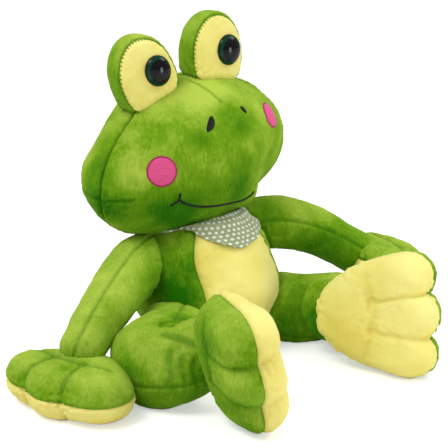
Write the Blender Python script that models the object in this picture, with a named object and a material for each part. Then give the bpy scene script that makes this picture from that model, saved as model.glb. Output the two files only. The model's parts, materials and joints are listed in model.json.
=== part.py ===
"""Plush frog that sits on the floor: sewn fabric panels round stuffing, plastic eyes and a tied bandana.

Metres, +Z up. The frog faces -Y and its left side is +X. The origin is the middle of its flat seat.
"""
import math

import bmesh
import bpy
from mathutils import Matrix, Vector

for old in list(bpy.data.objects):
    bpy.data.objects.remove(old, do_unlink=True)

# Fabric, and the clearances between pieces
FABRIC = 0.0025
GAP = 0.0003
SEAT_PRESS = 0.0005
CUT_REACH = 0.400
LIMB_SWING = math.radians(32)
SEAT_DEPTH_share = 2.2
BALL_SIDES = 16

# Torso: a pear whose round top is the ball that the head turns on
TORSO_BASE_WIDTH = 0.150
TORSO_BASE_DEPTH = 0.146
TORSO_BELLY_HEIGHT = 0.064
NECK_RADIUS = 0.056
NECK_HEIGHT = 0.088
NECK_SETBACK = 0.006
BELLY_HALF_ANGLE = math.radians(46)
TORSO_FLOOR_shares = (0.30, 0.58, 0.80, 1.0)
TORSO_SIDE_shares = (0.5, 1.0)
TORSO_CROWN_shares = (0.33, 0.66)
BELLY_FACET_ROWS = range(2, 7)

# Head: wider at the jaw than at the crown, rolled a little
HEAD_WIDTH = 0.230
HEAD_DEPTH = 0.150
HEAD_HEIGHT = 0.151
HEAD_ABOVE_NECK = 0.111
HEAD_SIDE_SHIFT = -0.007
HEAD_BACK_SHIFT = 0.016
HEAD_ROLL = math.radians(-11)
HEAD_TURN = math.radians(-4)
HEAD_TAPER_share = 0.17
HEAD_FACE_HALF_ANGLE = math.radians(76)
HEAD_CHIN_share = 0.62
HEAD_WIDTH_POWER_share = 0.86
HEAD_DEPTH_POWER_share = 0.92

# Eye bulges: flattened domes that stand on the head
BULGE_WIDTH = 0.066
BULGE_HEIGHT = 0.086
BULGE_DEPTH = 0.036
BULGE_SPACING = 0.083
BULGE_ABOVE_HEAD = 0.013
BULGE_FORWARD = 0.009
BULGE_TURN = math.radians(3)
BULGE_LEAN = math.radians(10)
BULGE_SPREAD_POWER_share = 0.55
BULGE_DEPTH_POWER_share = 0.5
EYE_WIDTH = 0.029
EYE_HEIGHT = 0.032
EYE_BULGE = 0.0065
EYE_TOWARD_LEFT = 0.009
EYE_RAISE = 0.005
STEM_RADIUS = 0.0025
STEM_LENGTH = 0.012
WASHER_RADIUS = 0.0085
WASHER_THICKNESS = 0.0015
WASHER_BACKSET = 0.0010

# Embroidery on the face
THREAD = 0.0010
NOSTRIL_LENGTH = 0.015
NOSTRIL_WIDTH = 0.006
NOSTRIL_HEADING = {"right": math.radians(-7), "left": math.radians(32)}
NOSTRIL_LEAN = math.radians(15)
NOSTRIL_ABOVE_MIDDLE = 0.039
CHEEK_WIDTH = 0.031
CHEEK_HEIGHT = 0.031
CHEEK_HEADING = {"right": math.radians(-48), "left": math.radians(54)}
CHEEK_ABOVE_MIDDLE = {"right": 0.010, "left": 0.020}
MOUTH_WIDTH = 0.090
MOUTH_STROKE = 0.003
MOUTH_HEADING = math.radians(-9)
MOUTH_LEAN = math.radians(11)
MOUTH_BELOW_MIDDLE = 0.044
MOUTH_DIP = 0.009

# Arms, from the shoulder ball to the wrist ball
SHOULDER_SPACING = 0.116
SHOULDER_HEIGHT = {"right": 0.095, "left": 0.106}
SHOULDER_SETBACK = 0.014
ARM_LENGTH = 0.140
ARM_ROOT_RADIUS = 0.023
ARM_MIDDLE_RADIUS = 0.026
WRIST_RADIUS = 0.022
ARM_ARCH = {"right": 0.009, "left": 0.018}
ARM_HEADING = {"right": math.radians(25), "left": math.radians(28)}
ARM_DROP = {"right": math.radians(20), "left": math.radians(15)}

# Hands: pads with three fingers
HAND_LENGTH = 0.090
HAND_WIDTH = 0.152
HAND_THICKNESS = 0.044
HAND_REACH = 0.031
HAND_HEADING = {"right": math.radians(14), "left": math.radians(16)}
HAND_DROP = {"right": 0.0, "left": math.radians(18)}
HAND_NOTCH = 0.010
HAND_HEEL_share = 0.70

# Legs, from the hip ball round the knee to the ankle ball
HIP_SPACING = 0.100
HIP_HEIGHT = 0.037
HIP_FORWARD = 0.026
ANKLE_OUT = {"right": 0.093, "left": 0.060}
ANKLE_FORWARD = {"right": 0.132, "left": 0.119}
ANKLE_HEIGHT = 0.052
THIGH_PULL = {"right": 0.106, "left": 0.092}
SHIN_PULL = {"right": 0.056, "left": 0.066}
LEG_ROOT_RADIUS = 0.032
KNEE_RADIUS = 0.036
ANKLE_RADIUS = 0.030
BEND_share = 0.70
THIGH_HEADING = {"right": math.radians(39), "left": math.radians(30)}
SHIN_HEADING = {"right": math.radians(158), "left": math.radians(165)}

# Feet: pads with three toes that stand on edge, sole inward
FOOT_LENGTH = 0.128
FOOT_WIDTH = 0.142
FOOT_THICKNESS = 0.054
FOOT_REACH = 0.052
FOOT_HEADING = {"right": math.radians(70), "left": math.radians(66)}
FOOT_LEAN = {"right": math.radians(10), "left": math.radians(10)}
FOOT_NOTCH = 0.009
FOOT_HEEL_share = 0.55

# Shares that hands and feet have in common: where the grooves lie, how deep, how square the outline
GROOVE_share = 0.34
GROOVE_DEPTH_share = 0.35
PAD_SQUARENESS_share = 2.5
PAD_RING_shares = (0.45, 0.80)
PAD_CROWN_POWER_share = 2.2

# Bandana: a band round the neck, a point on the chest, a knot with two tails behind
CLOTH = 0.003
BAND_LOW = 0.115
BAND_HIGH = 0.124
BAND_ROOM_RADIUS = 0.056
POINT_WIDTH = 0.090
POINT_DROP = 0.020
POINT_SHIFT = 0.016
KNOT_WIDTH = 0.026
KNOT_HEIGHT = 0.020
KNOT_DEPTH = 0.016
KNOT_BELOW_BAND = 0.004
TAIL_LENGTH = 0.046
TAIL_WIDTH = 0.020
TAIL_SPREAD = math.radians(48)

# Facets round and along each kind of form
HEAD_SIDES = 20
HEAD_RINGS = 13
TORSO_SIDES = 16
BULGE_SIDES = 14
BULGE_RINGS = 8
ARM_SIDES = 10
LEG_SIDES = 12
EYE_SIDES = 18
CAP_RINGS = 3
ARM_STEPS = 3
LEG_STEPS = 7
PAD_FRONT_STEPS = 4
PAD_BACK_STEPS = 5
OVAL_SIDES = 16
NOSTRIL_SIDES = 10
MOUTH_STEPS = 10
KNOT_SIDES = 14

SIDES = {"right": -1, "left": 1}
GREEN = (0.30, 0.42, 0.03, 1.0)
YELLOW = (0.83, 0.76, 0.22, 1.0)
WHITE = (0.85, 0.85, 0.83, 1.0)
EYE_GREEN = (0.0, 0.08, 0.03, 1.0)
BLACK = (0.01, 0.01, 0.01, 1.0)
PINK = (0.75, 0.10, 0.26, 1.0)
SAGE = (0.42, 0.48, 0.28, 1.0)


def material(name, colour, roughness):
    """A plain surface of one colour; nothing on the frog is metal."""
    surface = bpy.data.materials.get(name)
    if surface is None:
        surface = bpy.data.materials.new(name)
        surface.use_nodes = True
        shader = surface.node_tree.nodes["Principled BSDF"]
        shader.inputs["Base Color"].default_value = colour
        shader.inputs["Roughness"].default_value = roughness
        shader.inputs["Metallic"].default_value = 0.0
    return surface


def green_pile():
    return material("green_pile", GREEN, 0.9)


def yellow_pile():
    return material("yellow_pile", YELLOW, 0.9)


def stuffing():
    return material("stuffing", WHITE, 1.0)


def add_object(name, bm, surface=None, place=None):
    """An object from a bmesh, at a joint's place; the bmesh is in the coordinates of that place."""
    mesh = bpy.data.meshes.new(name)
    bm.to_mesh(mesh)
    bm.free()
    mesh.shade_smooth()
    item = bpy.data.objects.new(name, mesh)
    bpy.context.collection.objects.link(item)
    item.matrix_world = place if place is not None else Matrix.Identity(4)
    if surface is not None:
        mesh.materials.clear()
        mesh.materials.append(surface)
    return item


def add_cutter(name, bm, place=None):
    """A guide that only shapes other pieces."""
    item = add_object(name, bm, None, place)
    item.hide_render = True
    item.display_type = "WIRE"
    return item


def carve(item, cutter, operation="DIFFERENCE"):
    step = item.modifiers.new(operation.lower() + "_" + cutter.name, "BOOLEAN")
    step.operation = operation
    step.solver = "EXACT"
    step.object = cutter


def form_mesh(rings, panel_of=None):
    """A closed bmesh over rings of points, the first and last being one point each.

    panel_of gives the panel number of the faces between a ring and the next, at one step round.
    """
    bm = bmesh.new()
    rows = [[bm.verts.new(point) for point in ring] for ring in rings]
    steps = max(len(row) for row in rows)
    for place, (low, high) in enumerate(zip(rows, rows[1:])):
        for step in range(steps):
            after = (step + 1) % steps
            corners = [low[step % len(low)], low[after % len(low)]]
            corners += [high[after % len(high)], high[step % len(high)]]
            face = bm.faces.new(list(dict.fromkeys(corners)))
            face.smooth = True
            if panel_of is not None:
                face.material_index = panel_of(place, step)
    bmesh.ops.triangulate(bm, faces=bm.faces)
    bmesh.ops.recalc_face_normals(bm, faces=bm.faces)
    bm.normal_update()
    return bm


def grown(bm, distance):
    """A copy of a closed form with every point moved out along its normal."""
    copy = bm.copy()
    copy.normal_update()
    moves = [(point, point.normal * distance) for point in copy.verts]
    for point, move in moves:
        point.co += move
    for face in copy.faces:
        face.material_index = 0
    return copy


def sewn_panel(bm, panel):
    """One fabric panel of a closed form: a shell of the fabric's thickness, half a gap short of the seam."""
    shell = bmesh.new()
    outer, inner = {}, {}
    faces = [face for face in bm.faces if face.material_index == panel]
    for point in dict.fromkeys(corner for face in faces for corner in face.verts):
        shift = Vector()
        if any(face.material_index != panel for face in point.link_faces):
            for face in point.link_faces:
                if face.material_index == panel:
                    shift += (face.calc_center_median() - point.co).normalized()
            shift -= point.normal * shift.dot(point.normal)
            shift = shift.normalized() * GAP / 2
        outer[point] = shell.verts.new(point.co + shift)
        inner[point] = shell.verts.new(point.co + shift - point.normal * FABRIC)
    for face in faces:
        shell.faces.new([outer[corner] for corner in face.verts])
        shell.faces.new([inner[corner] for corner in reversed(face.verts)])
        for edge in face.edges:
            if any(other.material_index != panel for other in edge.link_faces):
                first, second = edge.verts
                shell.faces.new([outer[first], outer[second], inner[second], inner[first]])
    bmesh.ops.recalc_face_normals(shell, faces=shell.faces)
    for face in shell.faces:
        face.smooth = True
    return shell


def add_stuffed(bm, names, surfaces, filling_name, place):
    """A stuffed form: its fabric panels, and the stuffing that fills them."""
    panels = [
        add_object(name, sewn_panel(bm, number), surface, place)
        for number, (name, surface) in enumerate(zip(names, surfaces))
    ]
    filling = add_object(filling_name, grown(bm, -FABRIC - GAP), stuffing(), place)
    return panels + [filling]


def ellipse_ring(centre, across, up, steps):
    """Points round an ellipse whose half axes are the two vectors."""
    angles = [math.tau * step / steps for step in range(steps)]
    return [centre + across * math.cos(angle) + up * math.sin(angle) for angle in angles]


def heading_vector(side, heading, drop=0.0):
    """The unit vector out from the side, turned forward by the heading and down by the drop."""
    flat = math.cos(drop)
    return Vector((SIDES[side] * math.cos(heading) * flat, -math.sin(heading) * flat, -math.sin(drop)))


def facing(ahead, upward):
    """The rotation that points a piece's +X ahead and its +Z as near upward as it can."""
    across = upward.cross(ahead).normalized()
    return Matrix((ahead, across, ahead.cross(across))).transposed().to_4x4()


def seat_mesh(radius):
    """The room that a limb's round end needs: half a ball toward +X, flared toward -X where the limb swings.

    Its flats, not only its corners, lie a gap away from the limb.
    """
    half_step = math.pi / BALL_SIDES
    ball = (radius + GAP) / math.cos(half_step) ** 2
    profile = []
    for step in range(BALL_SIDES // 4):
        angle = math.pi / 2 - 2 * half_step * (step + 1)
        profile.append((ball * math.sin(angle), ball * math.cos(angle)))
    flare = radius * SEAT_DEPTH_share
    profile.append((-flare, ball + flare * math.tan(LIMB_SWING)))
    rings = [
        ellipse_ring(Vector((along, 0, 0)), Vector((0, wide, 0)), Vector((0, 0, wide)), BALL_SIDES)
        for along, wide in profile
    ]
    return form_mesh([[Vector((ball, 0, 0))], *rings, [Vector((-flare, 0, 0))]])


def add_seat(name, radius, place, limb):
    """A guide that makes a limb's seat at a joint; limb points from the joint along the limb."""
    return add_cutter(name, seat_mesh(radius), place @ facing(-limb.normalized(), Vector((0, 0, 1))))


def box_mesh(low, high):
    bm = bmesh.new()
    size = [top - bottom for bottom, top in zip(low, high)]
    middle = (Vector(low) + Vector(high)) / 2
    bmesh.ops.create_cube(bm, size=1, matrix=Matrix.Translation(middle) @ Matrix.Diagonal((*size, 1)))
    return bm


def prism_mesh(outline, low, high):
    """A closed outline in X and Z, pulled out along -Y from one distance to another."""
    bm = bmesh.new()
    face = bm.faces.new([bm.verts.new((x, -low, z)) for x, z in outline])
    pulled = bmesh.ops.extrude_face_region(bm, geom=[face])["geom"]
    moved = [item for item in pulled if isinstance(item, bmesh.types.BMVert)]
    bmesh.ops.translate(bm, verts=moved, vec=(0, low - high, 0))
    bmesh.ops.recalc_face_normals(bm, faces=bm.faces)
    return bm


def curve_point(controls, share):
    """The point at a share of the way along the Bezier curve of the control points."""
    while len(controls) > 1:
        controls = [first.lerp(second, share) for first, second in zip(controls, controls[1:])]
    return controls[0]


def limb_path(controls, radii, steps):
    """Places along a limb's curve, each with the limb's radius there; radii are root, middle and end."""
    root, middle, end = radii
    swell = 2 * middle - (root + end) / 2
    path = []
    for step in range(steps + 1):
        share = step / steps
        radius = root * (1 - share) ** 2 + 2 * swell * share * (1 - share) + end * share**2
        path.append((curve_point(controls, share), radius))
    return path


def ball_end(centre, radius, ahead, outward, sides):
    """The rings of a limb's round end, from its widest to its tip."""
    across = Vector((0, 0, 1)).cross(ahead).normalized()
    up = ahead.cross(across)
    rings = []
    for cap in range(CAP_RINGS):
        angle = math.pi / 2 * cap / CAP_RINGS
        middle = centre + outward * radius * math.sin(angle)
        wide = radius * math.cos(angle)
        rings.append(ellipse_ring(middle, across * wide, up * wide, sides))
    return [*rings, [centre + outward * radius]]


def limb_directions(controls, path):
    """The limb's direction at each place of its path."""
    places = [place for place, radius in path]
    inner = [(after - before).normalized() for before, after in zip(places, places[2:])]
    return [(controls[1] - controls[0]).normalized(), *inner, (controls[-1] - controls[-2]).normalized()]


def bend_room(path, directions, number):
    """How far the rings beside a ring could reach before they meet it on the inner side of the bend."""
    room = math.inf
    for other in (number - 1, number + 1):
        turn = directions[other].angle(directions[number])
        if turn > 0:
            room = min(room, (path[other][0] - path[number][0]).length / turn)
    return room


def limb_mesh(controls, radii, sides, steps):
    """A limb along a curve, with a round end about its first and its last point; panel 0 is its upper half.

    The inner side of a tight bend is drawn in, as cloth is where a limb folds.
    """
    path = limb_path(controls, radii, steps)
    directions = limb_directions(controls, path)
    rings = []
    for number in range(1, steps):
        place, radius = path[number]
        across = Vector((0, 0, 1)).cross(directions[number]).normalized()
        up = directions[number].cross(across)
        inner = min(radius, BEND_share * bend_room(path, directions, number))
        bend = directions[number + 1] - directions[number - 1]
        toward = across * math.copysign((radius - inner) / 2, -bend.dot(across))
        rings.append(ellipse_ring(place + toward, across * (radius + inner) / 2, up * radius, sides))
    first = ball_end(*path[0], directions[0], -directions[0], sides)
    last = ball_end(*path[-1], directions[-1], directions[-1], sides)
    return form_mesh([*reversed(first), *rings, *last], lambda place, step: 0 if step < sides // 2 else 1)


def pad_angles():
    """Angles round a pad: the lobes' tips and the grooves between them, then even steps back to the heel."""
    quarter = math.pi / 2
    groove = math.asin(GROOVE_share ** (PAD_SQUARENESS_share / 2))
    half = [groove / 2, groove]
    half += [groove + (quarter - groove) * step / PAD_FRONT_STEPS for step in range(1, PAD_FRONT_STEPS + 1)]
    half += [quarter + quarter * step / PAD_BACK_STEPS for step in range(1, PAD_BACK_STEPS)]
    return [0.0, *half, math.pi, *(-angle for angle in reversed(half))], groove


def pad_mesh(length, width, thickness, notch, heel_share):
    """A hand or foot: a crowned pad with three lobes toward +X; panel 0 is its upper side, toward +Z.

    The pad's middle is the origin. It narrows to the heel, and grooves run in from between the lobes.
    """
    angles, groove = pad_angles()
    power = 2 / PAD_SQUARENESS_share

    def outline(angle):
        along = math.copysign(abs(math.cos(angle)) ** power, math.cos(angle))
        across = math.copysign(abs(math.sin(angle)) ** power, math.sin(angle))
        narrowed = 1 - (1 - heel_share) * (1 - along) / 2
        drawn_in = notch if abs(abs(angle) - groove) < groove / 4 else 0.0
        return Vector((length / 2 * along - drawn_in, width / 2 * across * narrowed, 0.0))

    upper, lower = [], []
    for share in PAD_RING_shares:
        crown = thickness / 2 * (1 - share**PAD_CROWN_POWER_share) ** 0.5
        for face, sign in ((upper, 1), (lower, -1)):
            ring = []
            for angle in angles:
                in_groove = abs(abs(angle) - groove) < groove / 4
                thin = 1 - GROOVE_DEPTH_share * share if in_groove else 1
                ring.append(outline(angle) * share + Vector((0, 0, sign * crown * thin)))
            face.append(ring)
    rim = [outline(angle) for angle in angles]
    top, bottom = Vector((0, 0, thickness / 2)), Vector((0, 0, -thickness / 2))
    rings = [[top], *upper, rim, *reversed(lower), [bottom]]
    return form_mesh(rings, lambda place, step: 0 if place < len(PAD_RING_shares) + 1 else 1)


def torso_mesh():
    """The pear: a quarter round that bears on the floor, a side that draws in, and a round top."""
    rings = [[Vector((0, 0, -SEAT_PRESS))]]
    half_width, half_depth = TORSO_BASE_WIDTH / 2, TORSO_BASE_DEPTH / 2

    def ring(height, wide, deep, setback):
        centre = Vector((0, setback, height))
        return ellipse_ring(centre, Vector((wide, 0, 0)), Vector((0, deep, 0)), TORSO_SIDES)

    for turn in TORSO_FLOOR_shares:
        angle = math.pi / 2 * turn
        spread = math.sin(angle)
        height = (TORSO_BELLY_HEIGHT + SEAT_PRESS) * (1 - math.cos(angle)) - SEAT_PRESS
        rings.append(ring(height, half_width * spread, half_depth * spread, 0))
    for climb in TORSO_SIDE_shares:
        blend = (1 - math.cos(math.pi * climb)) / 2
        wide = half_width + (NECK_RADIUS - half_width) * blend
        deep = half_depth + (NECK_RADIUS - half_depth) * blend
        height = TORSO_BELLY_HEIGHT + (NECK_HEIGHT - TORSO_BELLY_HEIGHT) * climb
        rings.append(ring(height, wide, deep, NECK_SETBACK * blend))
    for turn in TORSO_CROWN_shares:
        angle = math.pi / 2 * turn
        radius = NECK_RADIUS * math.cos(angle)
        rings.append(ring(NECK_HEIGHT + NECK_RADIUS * math.sin(angle), radius, radius, NECK_SETBACK))
    rings.append([Vector((0, NECK_SETBACK, NECK_HEIGHT + NECK_RADIUS))])

    def panel(place, step):
        turned = math.tau * (step + 0.5) / TORSO_SIDES
        in_front = abs(turned - 1.5 * math.pi) < BELLY_HALF_ANGLE
        return 1 if in_front and place in BELLY_FACET_ROWS else 0

    return form_mesh(rings, panel)


def head_mesh():
    """The head about its own middle: an egg on its side, panel 0 the face, 1 the back and 2 the chin."""
    rings = [[Vector((0, 0, -HEAD_HEIGHT / 2))]]
    for number in range(1, HEAD_RINGS):
        angle = math.pi * number / HEAD_RINGS
        lift = -math.cos(angle)
        swell = math.sin(angle) ** HEAD_WIDTH_POWER_share * (1 - HEAD_TAPER_share * lift)
        across = Vector((HEAD_WIDTH / 2 * swell, 0, 0))
        deep = Vector((0, HEAD_DEPTH / 2 * math.sin(angle) ** HEAD_DEPTH_POWER_share, 0))
        rings.append(ellipse_ring(Vector((0, 0, HEAD_HEIGHT / 2 * lift)), across, deep, HEAD_SIDES))
    rings.append([Vector((0, 0, HEAD_HEIGHT / 2))])
    lifts = [-math.cos(math.pi * number / HEAD_RINGS) for number in range(HEAD_RINGS)]
    chin_rings = sum(lift < -HEAD_CHIN_share for lift in lifts)

    def panel(place, step):
        turned = math.tau * (step + 0.5) / HEAD_SIDES
        if place < chin_rings:
            return 2
        return 0 if abs(turned - 1.5 * math.pi) < HEAD_FACE_HALF_ANGLE else 1

    return form_mesh(rings, panel)


def bulge_mesh():
    """An eye bulge about its own middle, standing up along Z; panel 0 is the yellow front."""
    rings = [[Vector((0, -BULGE_DEPTH / 2, 0))]]
    for number in range(1, BULGE_RINGS):
        angle = math.pi * number / BULGE_RINGS
        spread = math.sin(angle) ** BULGE_SPREAD_POWER_share
        ahead = math.copysign(abs(math.cos(angle)) ** BULGE_DEPTH_POWER_share, math.cos(angle))
        middle = Vector((0, -BULGE_DEPTH / 2 * ahead, 0))
        across, up = Vector((BULGE_WIDTH / 2 * spread, 0, 0)), Vector((0, 0, BULGE_HEIGHT / 2 * spread))
        rings.append(ellipse_ring(middle, across, up, BULGE_SIDES))
    rings.append([Vector((0, BULGE_DEPTH / 2, 0))])
    return form_mesh(rings, lambda place, step: 0 if place < BULGE_RINGS // 2 - 1 else 1)


def add_torso(floor):
    """Torso skin, belly panel and stuffing."""
    place = Matrix.Identity(4)
    pieces = add_stuffed(
        torso_mesh(), ("torso_back", "belly_panel"), (green_pile(), yellow_pile()), "torso_stuffing", place
    )
    carve(pieces[0], floor)
    for side in SIDES:
        arm, leg = arm_points(side), leg_points(side)
        shoulder = add_seat("shoulder_seat_" + side, ARM_ROOT_RADIUS, shoulder_place(side), arm[1] - arm[0])
        hip = add_seat("hip_seat_" + side, LEG_ROOT_RADIUS, hip_place(side), leg[1] - leg[0])
        for item in pieces:
            carve(item, shoulder)
            carve(item, hip)


def neck_place():
    return Matrix.Translation((0, NECK_SETBACK, NECK_HEIGHT))


def head_place():
    """The head's middle, rolled about the neck."""
    offset = Matrix.Translation((HEAD_SIDE_SHIFT, HEAD_BACK_SHIFT, HEAD_ABOVE_NECK))
    turned = Matrix.Rotation(HEAD_TURN, 4, "Z")
    return neck_place() @ turned @ offset @ Matrix.Rotation(HEAD_ROLL, 4, "Y")


def shoulder_place(side):
    return Matrix.Translation((SIDES[side] * SHOULDER_SPACING / 2, SHOULDER_SETBACK, SHOULDER_HEIGHT[side]))


def hip_place(side):
    return Matrix.Translation((SIDES[side] * HIP_SPACING / 2, -HIP_FORWARD, HIP_HEIGHT))


def neck_room_mesh():
    """What the head leaves free: the torso's round crown, and below it a round room for the bandana."""
    dome = (NECK_RADIUS + GAP) / math.cos(math.pi / BALL_SIDES) ** 2
    lid = BAND_HIGH + GAP - NECK_HEIGHT
    start = math.asin(lid / dome)
    halfway = (start + math.pi / 2) / 2
    profile = [
        (BAND_ROOM_RADIUS, -NECK_RADIUS),
        (BAND_ROOM_RADIUS, lid),
        (dome * math.cos(start), lid),
        (dome * math.cos(halfway), dome * math.sin(halfway)),
    ]
    rings = [
        ellipse_ring(Vector((0, 0, height)), Vector((radius, 0, 0)), Vector((0, radius, 0)), BALL_SIDES)
        for radius, height in profile
    ]
    return form_mesh([[Vector((0, 0, -NECK_RADIUS))], *rings, [Vector((0, 0, dome))]])


def add_head():
    """Head panels and stuffing, hollowed where the torso's round top fits."""
    place = head_place()
    names = ("head_face", "head_back", "head_chin")
    pieces = add_stuffed(head_mesh(), names, (green_pile(),) * 3, "head_stuffing", place)
    seat = add_cutter("neck_seat", neck_room_mesh(), neck_place())
    for item in pieces:
        carve(item, seat)


def bulge_place(side):
    out = SIDES[side]
    foot = Matrix.Translation((out * BULGE_SPACING / 2, -BULGE_FORWARD, HEAD_HEIGHT / 2 + BULGE_ABOVE_HEAD))
    turn = Matrix.Rotation(out * BULGE_TURN, 4, "Z")
    return head_place() @ foot @ turn @ Matrix.Rotation(out * BULGE_LEAN, 4, "Y")


def eye_mesh():
    """A domed plastic eye whose flat back is the XZ plane through its origin; it faces -Y."""
    bm = bmesh.new()
    bmesh.ops.create_uvsphere(bm, u_segments=EYE_SIDES, v_segments=EYE_SIDES // 2, radius=1)
    bmesh.ops.transform(bm, matrix=Matrix.Rotation(math.pi / 2, 4, "X"), verts=bm.verts)
    size = Matrix.Diagonal((EYE_WIDTH / 2, EYE_BULGE, EYE_HEIGHT / 2, 1))
    bmesh.ops.transform(bm, matrix=size, verts=bm.verts)
    everything = bm.verts[:] + bm.edges[:] + bm.faces[:]
    back = {"plane_co": (0, 0, 0), "plane_no": (0, 1, 0), "clear_outer": True}
    cut = bmesh.ops.bisect_plane(bm, geom=everything, **back)
    edges = [item for item in cut["geom_cut"] if isinstance(item, bmesh.types.BMEdge)]
    bmesh.ops.contextual_create(bm, geom=edges)
    bmesh.ops.recalc_face_normals(bm, faces=bm.faces)
    return bm


def rod_mesh(radius, low, high, sides=EYE_SIDES):
    """A round rod along Y between two places."""
    bm = bmesh.new()
    lie = Matrix.Translation((0, (low + high) / 2, 0)) @ Matrix.Rotation(math.pi / 2, 4, "X")
    bmesh.ops.create_cone(
        bm, cap_ends=True, segments=sides, radius1=radius, radius2=radius, depth=high - low, matrix=lie
    )
    return bm


def add_eye(side, bulge, pieces):
    """The plastic eye on the yellow panel, its stem through it, and the washer that locks it inside."""
    front, stuffed = pieces[0], pieces[2]
    place = bulge @ Matrix.Translation((EYE_TOWARD_LEFT, -BULGE_DEPTH / 2 - GAP, EYE_RAISE))
    eye = add_object("eye_" + side, eye_mesh(), material("eye_plastic", EYE_GREEN, 0.05), place)
    stem = add_cutter("stem_" + side, rod_mesh(STEM_RADIUS, -EYE_BULGE / 2, STEM_LENGTH), place)
    carve(eye, stem, "UNION")
    hole = add_cutter("stem_hole_" + side, rod_mesh(STEM_RADIUS + GAP, -EYE_BULGE, STEM_LENGTH + GAP), place)
    seat = 2 * GAP + FABRIC + WASHER_BACKSET
    washer_mesh = rod_mesh(WASHER_RADIUS, seat + GAP, seat + GAP + WASHER_THICKNESS)
    washer = add_object("washer_" + side, washer_mesh, material("washer_plastic", WHITE, 0.4), place)
    pocket_mesh = rod_mesh(WASHER_RADIUS + GAP, seat - FABRIC, seat + 2 * GAP + WASHER_THICKNESS)
    pocket = add_cutter("washer_pocket_" + side, pocket_mesh, place)
    carve(front, hole)
    carve(washer, hole)
    carve(stuffed, hole)
    carve(stuffed, pocket)


def add_eye_bulges(head_room):
    """Yellow-fronted bulges on the head, each with its plastic eye."""
    for side in SIDES:
        place = bulge_place(side)
        names = ("eye_front_" + side, "eye_back_" + side)
        surfaces = (yellow_pile(), green_pile())
        pieces = add_stuffed(bulge_mesh(), names, surfaces, "eye_stuffing_" + side, place)
        for item in pieces:
            carve(item, head_room)
        add_eye(side, place, pieces)


def add_patch(name, outline, place, reach, surface, outer, inner, beside=None):
    """Thread or cloth that follows a form: an outline cut from between two grown copies of that form.

    A guide beside the outline may widen it.
    """
    item = add_object(name, prism_mesh(outline, 0, reach), surface, place)
    if beside is not None:
        carve(item, beside, "UNION")
    carve(item, outer, "INTERSECT")
    carve(item, inner)
    return item


def oval(width, height, lean=0.0, sides=OVAL_SIDES):
    """An oval outline in X and Z, leaned about its middle."""
    points = []
    for step in range(sides):
        angle = math.tau * step / sides
        x, z = width / 2 * math.cos(angle), height / 2 * math.sin(angle)
        points.append((x * math.cos(lean) - z * math.sin(lean), x * math.sin(lean) + z * math.cos(lean)))
    return points


def mouth_outline():
    """A thin smile, leaned against the head's roll: along its upper edge, then back along its lower."""
    edges = []
    for rise in (MOUTH_STROKE / 2, -MOUTH_STROKE / 2):
        edge = []
        for step in range(MOUTH_STEPS + 1):
            share = 2 * step / MOUTH_STEPS - 1
            across = MOUTH_WIDTH / 2 * share
            edge.append((across, MOUTH_DIP * share**2 + rise - across * math.tan(MOUTH_LEAN)))
        edges.append(edge)
    return edges[0] + edges[1][::-1]


def add_embroidery(head_room):
    """Nostrils, cheeks and mouth, stitched flat on the face."""
    thread = add_cutter("head_thread", grown(head_mesh(), GAP + THREAD), head_place())

    def stitch(name, outline, heading, above, colour):
        aside = Matrix.Rotation(heading, 4, "Z") @ Matrix.Translation((0, 0, above))
        surface = material(name.split("_")[0] + "_thread", colour, 0.6)
        add_patch(name, outline, head_place() @ aside, HEAD_WIDTH, surface, thread, head_room)

    for side, out in SIDES.items():
        nostril = oval(NOSTRIL_WIDTH, NOSTRIL_LENGTH, NOSTRIL_LEAN * out, NOSTRIL_SIDES)
        stitch("nostril_" + side, nostril, NOSTRIL_HEADING[side], NOSTRIL_ABOVE_MIDDLE, BLACK)
        cheek = oval(CHEEK_WIDTH, CHEEK_HEIGHT)
        stitch("cheek_" + side, cheek, CHEEK_HEADING[side], CHEEK_ABOVE_MIDDLE[side], PINK)
    stitch("mouth", mouth_outline(), MOUTH_HEADING, -MOUTH_BELOW_MIDDLE, BLACK)


def tails_outline():
    """Both tails hanging apart from the knot's middle, as one outline in X and Z."""
    corners = {}
    for out in (-1, 1):
        down = Vector((out * math.sin(TAIL_SPREAD), -math.cos(TAIL_SPREAD)))
        outward = Vector((out * math.cos(TAIL_SPREAD), math.sin(TAIL_SPREAD))) * TAIL_WIDTH / 2
        end = down * TAIL_LENGTH
        corners[out] = [outward / 2, end + outward, end - outward]
    crotch = Vector((0, -TAIL_WIDTH / 2 / math.sin(TAIL_SPREAD)))
    return [tuple(corner) for corner in [*corners[-1], crotch, *reversed(corners[1])]]


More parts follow.
